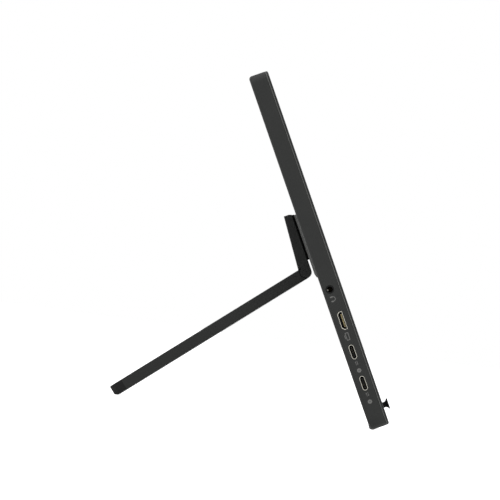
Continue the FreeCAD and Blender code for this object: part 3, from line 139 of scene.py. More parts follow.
def number(name, description, default):
    return FloatProperty(name=name, description=description, default=default, min=0)


def angle(name, description, degrees):
    return FloatProperty(
        name=name, description=description, default=math.radians(degrees), subtype="ANGLE", unit="ROTATION"
    )


def position(name, description, place):
    return FloatVectorProperty(
        name=name, description=description, default=place, size=3, subtype="XYZ", unit="LENGTH"
    )


class MonitorFinish(bpy.types.PropertyGroup):
    """Colours and grains of the finishes."""

    casing: colour("Casing", "Rear cover of the slab", "#222322")
    bezel: colour("Bezel", "Front frame round the screen", "#1F201F")
    # The pale seam colour is a painted highlight along the line where the bezel meets the cover
    parting: colour("Parting edge", "Line where the bezel meets the cover", "#747573")
    stand: colour("Stand", "Bracket and leg", "#1A1B1A")
    plate: colour("Plate", "Mount plate on the back", "#666765")
    ferrite: colour("Ferrite", "Pressed cores on the board", "#3E3F3E")
    resin: colour("Resin", "Black resin of chips and switches", "#1C1D1D")
    knob: colour("Knob", "Rubber cap of the joystick", "#050505")
    rubber: colour("Feet", "Rubber of the strips and the leg's foot", "#131313")
    foam: colour("Foam", "Pad and gasket", "#080808")
    screen: colour("Screen", "Dark screen behind its matt film", "#060708")
    screen_edge: colour("Screen edge", "Black border of the screen", "#030303")
    ink: colour("Ink", "Printed marks on the left side", "#666664")
    nickel: colour("Nickel", "Plated socket shells", "#A3A198")
    gold: colour("Gold", "Contacts in the sockets", "#8A7F5E")
    steel: colour("Steel", "Zinc-plated sheet and screws", "#A9ABAE")
    board: colour("Board", "Solder mask of the circuit boards", "#0E4A33")
    copper: colour("Copper", "Tracks under the mask and in the flat cables", "#7A6A35")
    film: colour("Film", "Amber film of the flat cables", "#A9601C")
    white: colour("White film", "Reflector, diffuser and lamp strip", "#E6E7E4")
    lamp: colour("Lamp", "Phosphor of the lamps", "#E3C93F")
    grain: length("Grain", "Moulded grain, drawn coarser than it is so that it shows", 0.9)
    grain_depth: length("Grain depth", "Depth of the moulded grain", 0.05)
    mottle: length("Mottle", "Slow change of shade over a moulded face", 14.0)
    parting_depth: length("Parting depth", "Back edge of the bezel behind the front face", 1.6)
    # Width of the painted highlight line on the seam
    painted_highlight_width: length("Parting width", "Width of the parting edge", 0.3)
    peel: length("Peel", "Waviness of the sprayed paint", 1.1)
    peel_depth: length("Peel depth", "Height of the paint's waves", 0.03)
    cell: length("Foam cell", "Cells of the foam", 0.7)
    cell_depth: length("Cell depth", "Depth of the cells", 0.15)
    sparkle: length("Sparkle", "Grit of the matt film on the screen", 0.5)
    sparkle_depth: length("Sparkle depth", "Depth of the grit", 0.02)
    brush: length("Brush", "Width of the rolling lines in sheet metal", 0.35)
    brush_depth: length("Brush depth", "Depth of the rolling lines", 0.02)
    dot_pitch: length("Dot pitch", "Dots on the light guide", 1.6)
    lamp_pitch: length("Lamp pitch", "From lamp to lamp on the strip", 11.0)
    track_run: length("Track run", "Length of a copper track", 6.0)
    track_pitch: length("Track pitch", "From track to track", 1.2)
    track_height: length("Track height", "Copper under the mask", 0.03)
    line_pitch: length("Line pitch", "From line to line in a flat cable", 1.0)


class MonitorMarks(bpy.types.PropertyGroup):
    """Sizes of the printed marks, and how far each lies below its socket's middle."""

    ink_height: length("Ink height", "Thickness of the print", 0.02)
    stroke: length("Stroke", "Width of a printed line", 0.42)
    band_radius: length("Band radius", "Headphone band", 1.55)
    ear_width: length("Ear width", "Headphone cup across", 0.85)
    ear_height: length("Ear height", "Headphone cup along", 1.5)
    headphone_drop: length("Headphone drop", "Below the audio jack", 6.0)
    frame_width: length("Frame width", "Screen sign along the slab", 4.8)
    frame_height: length("Frame height", "Screen sign across the slab", 2.1)
    frame_round: length("Frame round", "Corners of the screen sign", 0.35)
    foot_width: length("Foot width", "Foot of the screen sign", 2.2)
    foot_gap: length("Foot gap", "From the screen sign to its foot", 0.3)
    video_drop: length("Video drop", "Below the video socket", 9.9)
    disc_radius: length("Disc radius", "Round mark", 1.3)
    bolt_height: length("Bolt height", "Spark in the round mark", 1.0)
    bolt_width: length("Bolt width", "Spark in the round mark", 0.45)
    disc_drop: length("Disc drop", "Below a data socket", 11.6)
    arrow_length: length("Arrow length", "Arrow of the transfer sign", 2.5)
    arrow_head: length("Arrow head", "Half width of an arrow's head", 0.42)
    arrow_stroke: length("Arrow stroke", "Width of an arrow's line", 0.26)
    arrow_gap: length("Arrow gap", "Between the middles of the two arrows", 0.95)
    arrow_drop: length("Arrow drop", "Below a data socket", 7.0)


class MonitorContacts(bpy.types.PropertyGroup):
    """Sizes of the contacts in the sockets."""

    edge: length("Edge", "Rounding of a contact's edges", 0.03)
    stand_proud: length("Proud", "How far a contact stands off its tongue", 0.05)
    inset: length("Inset", "Contact's end behind the tongue's front end", 0.35)
    data_length: length("Data length", "Contact along the tongue", 3.6)
    data_width: length("Data width", "Contact across", 0.26)
    data_pitch: length("Data pitch", "From one contact to the next", 0.5)
    data_count: IntProperty(name="Data count", description="Contacts on a face", default=12, min=1)
    video_length: length("Video length", "Contact along the tongue", 4.2)
    video_width: length("Video width", "Contact across", 0.45)
    video_pitch: length("Video pitch", "From one contact to the next", 0.8)
    video_count: IntProperty(name="Video count", description="Contacts on the tongue", default=10, min=1)
    leaf_width: length("Leaf width", "Spring leaf in the audio jack", 0.9)
    leaf_length: length("Leaf length", "Free end of the leaf", 0.7)
    leaf_depth: length("Leaf depth", "Leaf's free end behind the jack's mouth", 0.9)
    leaf_bend: length("Leaf bend", "Run of the leaf's bent foot", 1.6)
    leaf_wall: length("Leaf wall", "Thickness of the leaf", 0.12)
    jack_radius: length("Jack radius", "Bore of the audio jack", 1.8)


class MonitorScreen(bpy.types.PropertyGroup):
    """Sizes of the lit area's sheet on the screen."""

    window_width: length("Window width", "Opening of the bezel across the slab", 344.2)
    window_height: length("Window height", "Opening of the bezel up the slab", 193.6)
    window_rise: length("Window rise", "Opening above the slab's bottom edge", 23.0)
    border: length("Border", "Black border between the window and the lit area", 0.8)
    corner: length("Corner", "Rounding of the lit area's corners", 0.6)
    sheet: length("Sheet", "Thickness of the matt film", 0.03)


class MonitorStage(bpy.types.PropertyGroup):
    """Camera, floor and lamps."""

    distance: length("Distance", "Camera to the object's left side", 14000)
    view_width: length("View width", "Width seen at the left side", 298.5)
    aim_depth: length("Aim depth", "Picture's middle behind the front face", 44.85)
    aim_rise: length("Aim rise", "Picture's middle above the bottom edge, along the slab", 125.4)
    eye_depth: length("Eye depth", "Camera's place behind the front face", 12.25)
    eye_rise: length("Eye rise", "Camera's place above the bottom edge, along the slab", 75.6)
    seen_lean: angle("Seen lean", "Lean of the slab in the picture", 19.05)
    sensor: number("Sensor", "Camera's sensor width in millimetres", 36.0)
    floor_gap: length("Floor gap", "Floor below the feet, so that their faces don't meet", 0.05)
    floor_size: length("Floor size", "Side of the floor", 60000)
    floor_shade: colour("Floor", "Pale floor", "#E4E4E4")
    floor_lift: number("Floor lift", "Brightness that makes the seen floor white", 0.85)
    glance_share: number("Glance", "Share of a full glancing angle from which the shadow fades", 0.9)
    ambient: number("Ambient", "Light from all round", 0.55)
    lamp_side: length("Lamp side", "Side of a soft lamp", 1400)
    top_power: number("Top lamp", "Power in watts", 14.0)
    top_place: position("Top lamp's place", "Over the object", (0.0, 0.2, 2.1))
    side_power: number("Side lamp", "Power in watts", 12.0)
    side_place: position("Side lamp's place", "On the camera's side", (-2.0, -0.4, 1.0))
    front_power: number("Front lamp", "Power in watts", 7.0)
    front_place: position("Front lamp's place", "Before the screen", (0.5, -2.0, 1.1))
    back_power: number("Back lamp", "Power in watts", 15.0)
    back_place: position("Back lamp's place", "Behind the stand", (-0.8, 1.8, 1.6))


def add_node(tree, kind, settings=None, inputs=None):
    """Adds a shader node with its settings, and fills its inputs with values or other nodes' outputs."""
    node = tree.nodes.new(f"ShaderNode{kind}")
    for name, value in (settings or {}).items():
        setattr(node, name, value)
    for socket, value in (inputs or {}).items():
        if isinstance(value, bpy.types.NodeSocket):
            tree.links.new(value, node.inputs[socket])
        else:
            node.inputs[socket].default_value = value
    return node


def start_material(name, values):
    """A new material with its shader's constant values: the material, its tree, shader and coordinates."""
    material = bpy.data.materials.new(name)
    material.use_nodes = True
    tree = material.node_tree
    shader = tree.nodes["Principled BSDF"]
    for socket, value in values.items():
        shader.inputs[socket].default_value = value
    place = add_node(tree, "TexCoord")
    return material, tree, shader, place.outputs["Object"]


def feed(tree, shader, sources):
    for socket, source in sources.items():
        tree.links.new(source, shader.inputs[socket])


def imprint(tree, shader, height, tones, skin, relief, blend=None):
    """Gives a finish a pattern's relief and roughness, with its tones blended by that pattern or another."""
    factor = height if blend is None else blend
    tint = add_node(tree, "Mix", {"data_type": "RGBA"}, {MIX_FACTOR: factor, **tones})
    rough = add_node(tree, "MapRange", inputs={"Value": height, **skin})
    bump = add_node(tree, "Bump", inputs={**relief, "Height": height})
    sources = {
        "Base Color": tint.outputs[MIX_RESULT],
        "Roughness": rough.outputs[0],
        "Normal": bump.outputs["Normal"],
    }
    feed(tree, shader, sources)


def moulded_plastic(name, shade, rough, gloss):
    """ABS from a spark-eroded mould: an even matt skin with a fine grain and a slow mottle."""
    sizes = bpy.context.scene.monitor_finish
    values = {"IOR": 1.53, "Specular IOR Level": gloss}
    material, tree, shader, place = start_material(name, values)
    cloud = add_node(
        tree, "TexNoise", inputs={"Vector": place, "Scale": per_size(sizes.mottle), "Detail": 2.0}
    )
    grain = add_node(
        tree,
        "TexNoise",
        inputs={"Vector": place, "Scale": per_size(sizes.grain), "Detail": 4.0, "Roughness": 0.65},
    )
    # The grain's part in the change of shade
    grain_share = 0.6
    both = add_node(
        tree,
        "Math",
        {"operation": "MULTIPLY_ADD"},
        {0: grain.outputs["Fac"], 1: grain_share, 2: cloud.outputs["Fac"]},
    )
    spread = add_node(
        tree, "MapRange", inputs={"Value": both.outputs[0], "From Min": 0.45, "From Max": 1.15}
    )
    imprint(
        tree,
        shader,
        grain.outputs["Fac"],
        tone_pair(shade, dark_share=0.84, pale_share=1.16),
        about(rough, change=0.07),
        {"Strength": 0.25, "Distance": sizes.grain_depth},
        spread.outputs[0],
    )
    return material


def plastic_with_painted_seam_highlight(name, shade, rough, gloss):
    """The moulded plastic of the bezel, with a painted highlight: a thin paler line where its edge meets the
    cover.
    """
    sizes = bpy.context.scene.monitor_finish
    material = moulded_plastic(name, shade, rough, gloss)
    tree = material.node_tree
    shader = tree.nodes["Principled BSDF"]
    skin = shader.inputs["Base Color"].links[0].from_socket
    place = add_node(tree, "TexCoord")
    upright = add_node(
        tree, "Mapping", inputs={"Vector": place.outputs["Object"], "Rotation": (LEAN, 0, 0)}
    )
    depth = add_node(tree, "SeparateXYZ", inputs={"Vector": upright.outputs[0]})
    middle = slab_box("front_bezel")[0].y + sizes.parting_depth - sizes.painted_highlight_width / 2
    # A thin band just behind the bezel's front face is painted paler: a painted highlight on the seam
    line = add_node(
        tree,
        "Math",
        {"operation": "COMPARE"},
        {0: depth.outputs["Y"], 1: middle, 2: sizes.painted_highlight_width / 2},
    )
    tint = add_node(
        tree,
        "Mix",
        {"data_type": "RGBA"},
        {MIX_FACTOR: line.outputs[0], MIX_FIRST: skin, MIX_SECOND: opaque(sizes.parting)},
    )
    feed(tree, shader, {"Base Color": tint.outputs[MIX_RESULT]})
    return material


def moulded_rubber(name, shade, rough, gloss):
    """Pressed rubber: dull and dark, with a faint bloom that lies in patches."""
    sizes = bpy.context.scene.monitor_finish
    values = {"IOR": 1.52, "Specular IOR Level": gloss, "Sheen Weight": 0.03, "Sheen Roughness": 0.6}
    material, tree, shader, place = start_material(name, values)
    bloom = add_node(
        tree,
        "TexNoise",
        inputs={"Vector": place, "Scale": per_size(2 * sizes.grain), "Detail": 6.0, "Roughness": 0.7},
    )
    imprint(
        tree,
        shader,
        bloom.outputs["Fac"],
        tone_pair(shade, dark_share=0.7, pale_share=1.3),
        about(rough, change=0.08),
        {"Strength": 0.3, "Distance": sizes.grain_depth},
    )
    return material


def closed_foam(name, shade):
    """Closed-cell foam: black, with a pitted face."""
    sizes = bpy.context.scene.monitor_finish
    values = {"IOR": 1.5, "Specular IOR Level": 0.15, "Roughness": 0.95}
    material, tree, shader, place = start_material(name, values)
    cells = add_node(tree, "TexVoronoi", inputs={"Vector": place, "Scale": per_size(sizes.cell)})
    tint = add_node(
        tree,
        "Mix",
        {"data_type": "RGBA"},
        {MIX_FACTOR: cells.outputs["Distance"], **tone_pair(shade, dark_share=0.6, pale_share=1.5)},
    )
    bump = add_node(
        tree,
        "Bump",
        inputs={"Strength": 0.6, "Distance": sizes.cell_depth, "Height": cells.outputs["Distance"]},
    )
    feed(tree, shader, {"Base Color": tint.outputs[MIX_RESULT], "Normal": bump.outputs["Normal"]})
    return material


def sprayed_steel(name, shade):
    """Satin paint sprayed on sheet steel: smooth, with a slight peel."""
    sizes = bpy.context.scene.monitor_finish
    values = {"IOR": 1.5, "Specular IOR Level": 0.4, "Coat Weight": 0.1, "Coat Roughness": 0.3}
    material, tree, shader, place = start_material(name, values)
    peel = add_node(
        tree, "TexNoise", inputs={"Vector": place, "Scale": per_size(sizes.peel), "Detail": 2.0}
    )
    imprint(
        tree,
        shader,
        peel.outputs["Fac"],
        tone_pair(shade, dark_share=0.92, pale_share=1.08),
        {"To Min": 0.36, "To Max": 0.48},
        {"Strength": 0.15, "Distance": sizes.peel_depth},
    )
    return material


def plated_metal(name, shade, rough, stretch_share):
    """Plated metal: bright, with fine lines along the width where it was rolled or drawn."""
    sizes = bpy.context.scene.monitor_finish
    material, tree, shader, place = start_material(name, {"Metallic": 1.0})
    # How much smoother and rougher than its middle the metal gets along the lines
    smoother, rougher = 0.08, 0.1
    along = add_node(
        tree,
        "Mapping",
        inputs={"Vector": place, "Rotation": (LEAN, 0, 0), "Scale": (stretch_share, 1, 1)},
    )
    lines = add_node(
        tree,
        "TexNoise",
        inputs={"Vector": along.outputs[0], "Scale": per_size(sizes.brush), "Detail": 3.0},
    )
    imprint(
        tree,
        shader,
        lines.outputs["Fac"],
        tone_pair(shade, dark_share=0.85, pale_share=1.08),
        {"To Min": rough - smoother, "To Max": rough + rougher},
        {"Strength": 0.12, "Distance": sizes.brush_depth},
    )
    return material


def matt_screen(name, shade, rough):
    """Screen glass under an etched film: near black, with a fine sparkle in its haze."""
    sizes = bpy.context.scene.monitor_finish
    material, tree, shader, place = start_material(name, {"IOR": 1.5, "Specular IOR Level": 0.12})
    grit = add_node(
        tree, "TexNoise", inputs={"Vector": place, "Scale": per_size(sizes.sparkle), "Detail": 3.0}
    )
    imprint(
        tree,
        shader,
        grit.outputs["Fac"],
        tone_pair(shade, dark_share=0.8, pale_share=1.2),
        about(rough, change=0.05),
        {"Strength": 0.08, "Distance": sizes.sparkle_depth},
    )
    return material


def satin_film(name, shade, clear_share):
    """Polyester film: milky and even, with a faint haze. Some of it lets light through."""
    sizes = bpy.context.scene.monitor_finish
    values = {"IOR": 1.57, "Transmission Weight": clear_share}
    material, tree, shader, place = start_material(name, values)
    haze = add_node(
        tree, "TexNoise", inputs={"Vector": place, "Scale": per_size(sizes.mottle), "Detail": 3.0}
    )
    tint = add_node(
        tree,
        "Mix",
        {"data_type": "RGBA"},
        {MIX_FACTOR: haze.outputs["Fac"], **tone_pair(shade, dark_share=0.94, pale_share=1.0)},
    )
    skin = add_node(
        tree, "MapRange", inputs={"Value": haze.outputs["Fac"], "To Min": 0.4, "To Max": 0.55}
    )
    feed(tree, shader, {"Base Color": tint.outputs[MIX_RESULT], "Roughness": skin.outputs[0]})
    return material


def dotted_acrylic(name, shade):
    """Clear acrylic of the light guide, with white dots printed on it that throw the light out."""
    sizes = bpy.context.scene.monitor_finish
    values = {"IOR": 1.49, "Transmission Weight": 0.85}
    material, tree, shader, place = start_material(name, values)
    dots = add_node(
        tree,
        "TexVoronoi",
        inputs={"Vector": place, "Scale": per_size(sizes.dot_pitch), "Randomness": 0.15},
    )
    # A dot's radius, measured by the pitch
    radius_share = 0.3
    dot = add_node(
        tree, "Math", {"operation": "LESS_THAN"}, {0: dots.outputs["Distance"], 1: radius_share}
    )
    tint = add_node(
        tree,
        "Mix",
        {"data_type": "RGBA"},
        {MIX_FACTOR: dot.outputs[0], **tone_pair(shade, dark_share=0.9, pale_share=1.0)},
    )
    skin = add_node(tree, "MapRange", inputs={"Value": dot.outputs[0], "To Min": 0.06, "To Max": 0.7})
    feed(tree, shader, {"Base Color": tint.outputs[MIX_RESULT], "Roughness": skin.outputs[0]})
    return material


def tracked_board(name, mask, track):
    """Glass-fibre board under solder mask, with the copper tracks showing through as paler lines."""
    sizes = bpy.context.scene.monitor_finish
    values = {"IOR": 1.55, "Roughness": 0.35, "Coat Weight": 0.2}
    material, tree, shader, place = start_material(name, values)
    flat = add_node(tree, "Mapping", inputs={"Vector": place, "Rotation": (LEAN - QUARTER_TURN, 0, 0)})
    tracks = add_node(
        tree,
        "TexBrick",
        {"offset": 0.37, "squash": 1.6, "squash_frequency": 3},
        {
            "Vector": flat.outputs[0],
            "Color1": opaque(toned(mask, share=0.9)),
            "Color2": opaque(toned(mask, share=1.1)),
            "Mortar": opaque([(m + t) / 2 for m, t in zip(mask, track)]),
            "Scale": per_size(sizes.track_run),
            "Brick Width": 1.0,
            "Row Height": sizes.track_pitch / sizes.track_run,
            "Mortar Size": 0.02,
        },
    )
    bump = add_node(
        tree,
        "Bump",
        inputs={"Strength": 0.2, "Distance": sizes.track_height, "Height": tracks.outputs["Fac"]},
    )
    feed(tree, shader, {"Base Color": tracks.outputs["Color"], "Normal": bump.outputs["Normal"]})
    return material


def wave_scale(pitch):
    """The scale of a wave pattern whose bands come once in every pitch."""
    return per_size(pitch) * WAVE_PITCH


def striped_film(name, film, line):
    """Amber polyimide film with copper lines laid side by side in it."""
    sizes = bpy.context.scene.monitor_finish
    values = {"IOR": 1.6, "Roughness": 0.3, "Coat Weight": 0.3}
    material, tree, shader, place = start_material(name, values)
    flat = add_node(tree, "Mapping", inputs={"Vector": place, "Rotation": (LEAN - QUARTER_TURN, 0, 0)})
    lines = add_node(
        tree,
        "TexWave",
        inputs={"Vector": flat.outputs[0], "Scale": wave_scale(sizes.line_pitch), "Distortion": 0.2},
    )
    tint = add_node(
        tree,
        "Mix",
        {"data_type": "RGBA"},
        {MIX_FACTOR: lines.outputs["Fac"], MIX_FIRST: opaque(film), MIX_SECOND: opaque(line)},
    )
    feed(tree, shader, {"Base Color": tint.outputs[MIX_RESULT]})
    return material


def lamp_strip(name, white, lamp):
    """White strip of the lamp bar, with a yellow lamp at every pitch."""
    sizes = bpy.context.scene.monitor_finish
    values = {"IOR": 1.5, "Roughness": 0.5}
    material, tree, shader, place = start_material(name, values)
    rows = add_node(
        tree, "TexWave", {"wave_profile": "TRI"}, {"Vector": place, "Scale": wave_scale(sizes.lamp_pitch)}
    )
    # A lamp lies where the wave is above this share of its height
    level_share = 0.7
    lit = add_node(tree, "Math", {"operation": "GREATER_THAN"}, {0: rows.outputs["Fac"], 1: level_share})
    tint = add_node(
        tree,
        "Mix",
        {"data_type": "RGBA"},
        {MIX_FACTOR: lit.outputs[0], MIX_FIRST: opaque(white), MIX_SECOND: opaque(lamp)},
    )
    feed(tree, shader, {"Base Color": tint.outputs[MIX_RESULT]})
    return material


def printed_ink(name, shade):
    """Pad-printed ink: a dull pale grey that is a little thin in places."""
    sizes = bpy.context.scene.monitor_finish
    material, tree, shader, place = start_material(name, {"IOR": 1.45, "Roughness": 0.7})
    thin = add_node(
        tree, "TexNoise", inputs={"Vector": place, "Scale": per_size(sizes.grain), "Detail": 3.0}
    )
    tint = add_node(
        tree,
        "Mix",
        {"data_type": "RGBA"},
        {MIX_FACTOR: thin.outputs["Fac"], **tone_pair(shade, dark_share=0.8, pale_share=1.15)},
    )
    feed(tree, shader, {"Base Color": tint.outputs[MIX_RESULT]})
    return material


def dress(material, *nodes):
    """Gives CAD nodes their finish."""
    for node in nodes:
        finish = frame["nodes"][node].data.materials
        finish.clear()
        finish.append(material)


def slab_box(node, reach=math.inf):
    """Lowest and highest corner of a CAD node, or of its left end, along the slab's own axes."""
    turn = SLAB.inverted()
    spots = [turn @ vertex.co for vertex in frame["nodes"][node].data.vertices]
    left = min(spot.x for spot in spots)
    spots = [spot for spot in spots if spot.x <= left + reach]
    low = Vector([min(spot[axis] for spot in spots) for axis in range(3)])
    high = Vector([max(spot[axis] for spot in spots) for axis in range(3)])
    return low, high


def begin(add, **choices):
    """Adds a primitive with nothing else selected and opens it for editing."""
    bpy.ops.object.select_all(action="DESELECT")
    add(**choices)
    bpy.ops.object.mode_set(mode="EDIT")
    bpy.ops.mesh.select_all(action="SELECT")


def close():
    bpy.ops.object.mode_set(mode="OBJECT")
    return bpy.context.object


def pick(test):
    """Selects the vertices of the mesh being edited for which the test is true."""
    mesh = bmesh.from_edit_mesh(bpy.context.object.data)
    for vertex in mesh.verts:
        vertex.select = test(vertex.co)
    mesh.select_flush_mode()
    bmesh.update_edit_mesh(bpy.context.object.data)


def block(centre, size, edge):
    """A block with rounded edges."""
    begin(bpy.ops.mesh.primitive_cube_add, size=1, location=centre)
    bpy.ops.transform.resize(value=size, center_override=centre)
    bpy.ops.mesh.bevel(offset=edge, segments=2, affect="EDGES")
    return close()


def disc(centre, radius, stroke=0.0, keep_above=False):
    """A flat disc, or a ring of the stroke's width, or the upper half of one."""
    begin(bpy.ops.mesh.primitive_circle_add, vertices=48, radius=radius, fill_type="NGON", location=centre)
    if stroke:
        bpy.ops.mesh.inset(thickness=stroke)
        bpy.ops.mesh.delete(type="FACE")
    if keep_above:
        bpy.ops.mesh.select_all(action="SELECT")
        bpy.ops.mesh.bisect(plane_co=centre, plane_no=(0, -1, 0), clear_outer=True)
    return close()


def panel(centre, width, height, corner, stroke=0.0):
    """A flat rectangle with rounded corners, or its outline of the stroke's width."""
    begin(bpy.ops.mesh.primitive_plane_add, size=1, location=centre)
    bpy.ops.transform.resize(value=(width, height, 1), center_override=centre)
    bpy.ops.mesh.bevel(offset=corner, segments=4, affect="VERTICES")
    if stroke:
        bpy.ops.mesh.select_all(action="SELECT")
        bpy.ops.mesh.inset(thickness=stroke)
        bpy.ops.mesh.delete(type="FACE")
    return close()


def wedge(base, width, height, turn):
    """A flat triangle on the middle of its base, which points up before it is turned."""
    begin(bpy.ops.mesh.primitive_plane_add, size=1, location=(0, 0, 0))
    bpy.ops.transform.resize(value=(width, height, 1), center_override=(0, 0, 0))
    bpy.ops.transform.translate(value=(0, height / 2, 0))
    pick(lambda spot: spot.y > height / 2)
    bpy.ops.mesh.merge(type="CENTER")
    piece = close()
    piece.location = base
    piece.rotation_euler = (0, 0, turn)
    bpy.ops.object.transform_apply(location=True, rotation=True, scale=True)
    return piece


def contact_row(centre, size, edge, pitch, count):
    """A row of like contacts up the slab, about its middle."""
    first = centre - Vector((0, 0, (count - 1) * pitch / 2))
    row = block(first, size, edge)
    repeat = row.modifiers.new("repeat", "ARRAY")
    repeat.count = count
    repeat.use_relative_offset = False
    repeat.use_constant_offset = True
    repeat.constant_offset_displace = (0, 0, pitch)
    bpy.ops.object.modifier_apply(modifier="repeat")
    return row


def choose(*pieces):
    """Selects these pieces alone and makes the first one active."""
    bpy.ops.object.select_all(action="DESELECT")
    for piece in pieces:
        piece.select_set(True)
    bpy.context.view_layer.objects.active = pieces[0]


def join(parts):
    """Makes one object of several."""
    choose(*parts)
    bpy.ops.object.join()
    return parts[0]


def thicken(piece, height):
    """Raises a flat outline to a plate of the given height, with its faces outwards."""
    choose(piece)
    bpy.ops.object.transform_apply(location=True, rotation=True, scale=True)
    bpy.ops.object.mode_set(mode="EDIT")
    bpy.ops.mesh.select_all(action="SELECT")
    bpy.ops.mesh.extrude_region_move(TRANSFORM_OT_translate={"value": (0, 0, height)})
    bpy.ops.mesh.select_all(action="SELECT")
    bpy.ops.mesh.normals_make_consistent(inside=False)
    return close()


def carve(piece, cutter):
    """Takes the cutter's shape out of a piece."""
    hole = piece.modifiers.new("hole", "BOOLEAN")
    hole.operation = "DIFFERENCE"
    hole.object = cutter
    hole.use_self = True
    choose(piece)
    bpy.ops.object.modifier_apply(modifier="hole")
    bpy.data.objects.remove(cutter)
    return piece


def settle(piece, name, matrix, material, body="display"):
    """Names a finished piece, puts its place into its mesh and lets it ride on a body."""
    choose(piece)
    bpy.ops.object.transform_apply(location=True, rotation=True, scale=True)
    piece.matrix_world = matrix
    bpy.ops.object.transform_apply(location=True, rotation=True, scale=True)
    piece.name = name
    piece.data.name = name
    piece.data.materials.clear()
    piece.data.materials.append(material)
    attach(piece, body)


class MONITOR_OT_casing(bpy.types.Operator):
    """Finish the rear cover, the front bezel and the screws between them"""

    bl_idname = "monitor.casing"
    bl_label = "Casing"

    def execute(self, context):
        tones = context.scene.monitor_finish
        dress(moulded_plastic("matt_abs_casing", tones.casing, rough=0.55, gloss=0.19), "rear_cover")
        dress(plastic_with_painted_seam_highlight("matt_abs_bezel", tones.bezel, rough=0.55, gloss=0.19), "front_bezel")
        dark_steel = toned(tones.steel, share=0.25)
        screw = plated_metal("black_zinc_screws", dark_steel, rough=0.4, stretch_share=0.3)
        dress(screw, "cover_screws")
        return {"FINISHED"}


class MONITOR_OT_screen(bpy.types.Operator):
    """Finish the screen's layers and lay the matt sheet of the lit area on its glass"""

    bl_idname = "monitor.screen"
    bl_label = "Screen"

    def execute(self, context):
        tones = context.scene.monitor_finish
        sizes = context.scene.monitor_screen
        dress(matt_screen("black_screen_edge", tones.screen_edge, rough=0.3), "lcd_panel")
        dress(closed_foam("black_foam_gasket", tones.foam), "panel_gasket")
        dress(satin_film("milky_diffuser_film", tones.white, clear_share=0.4), "diffuser_sheet")
        dress(satin_film("white_reflector_film", tones.white, clear_share=0.0), "reflector_sheet")
        dress(dotted_acrylic("dotted_acrylic_guide", tones.white), "light_guide")
        dress(lamp_strip("white_lamp_strip", tones.white, tones.lamp), "lamp_bar")
        dress(plated_metal("zinc_plated_tray", tones.steel, rough=0.35, stretch_share=0.05), "panel_tray")
        rise = slab_box("front_bezel")[0].z + sizes.window_rise + sizes.window_height / 2
        middle = SLAB @ Vector((0, slab_box("lcd_panel")[0].y, rise))
        width = sizes.window_width - 2 * sizes.border
        height = sizes.window_height - 2 * sizes.border
        sheet = panel((0, 0, 0), width, height, sizes.corner)
        thicken(sheet, sizes.sheet)
        film = matt_screen("etched_screen_film", tones.screen, rough=0.42)
        settle(sheet, "lit_area", Matrix.Translation(middle) @ FACING, film)
        return {"FINISHED"}


class MONITOR_OT_electronics(bpy.types.Operator):
    """Finish the boards, chips, flat cables and speakers inside the casing"""

    bl_idname = "monitor.electronics"
    bl_label = "Electronics"

    def execute(self, context):
        tones = context.scene.monitor_finish
        board = tracked_board("green_masked_board", tones.board, tones.copper)
        dress(board, "main_board", "panel_driver_board", "joystick_board")
        film = striped_film("amber_flex_film", tones.film, tones.copper)
        dress(film, "panel_flex_tabs", "display_cable", "joystick_cable")
        epoxy = moulded_plastic("black_chip_epoxy", tones.resin, rough=0.6, gloss=0.3)
        dress(epoxy, "scaler_chip", "memory_chips")
        dress(moulded_plastic("grey_ferrite", tones.ferrite, rough=0.75, gloss=0.3), "power_inductors")
        plastic = moulded_plastic("black_speaker_abs", tones.stand, rough=0.6, gloss=0.25)
        dress(plastic, "speaker_left", "speaker_right")
        zinc = plated_metal("zinc_plated_screws", tones.steel, rough=0.35, stretch_share=0.3)
        dress(zinc, "board_screws")
        return {"FINISHED"}


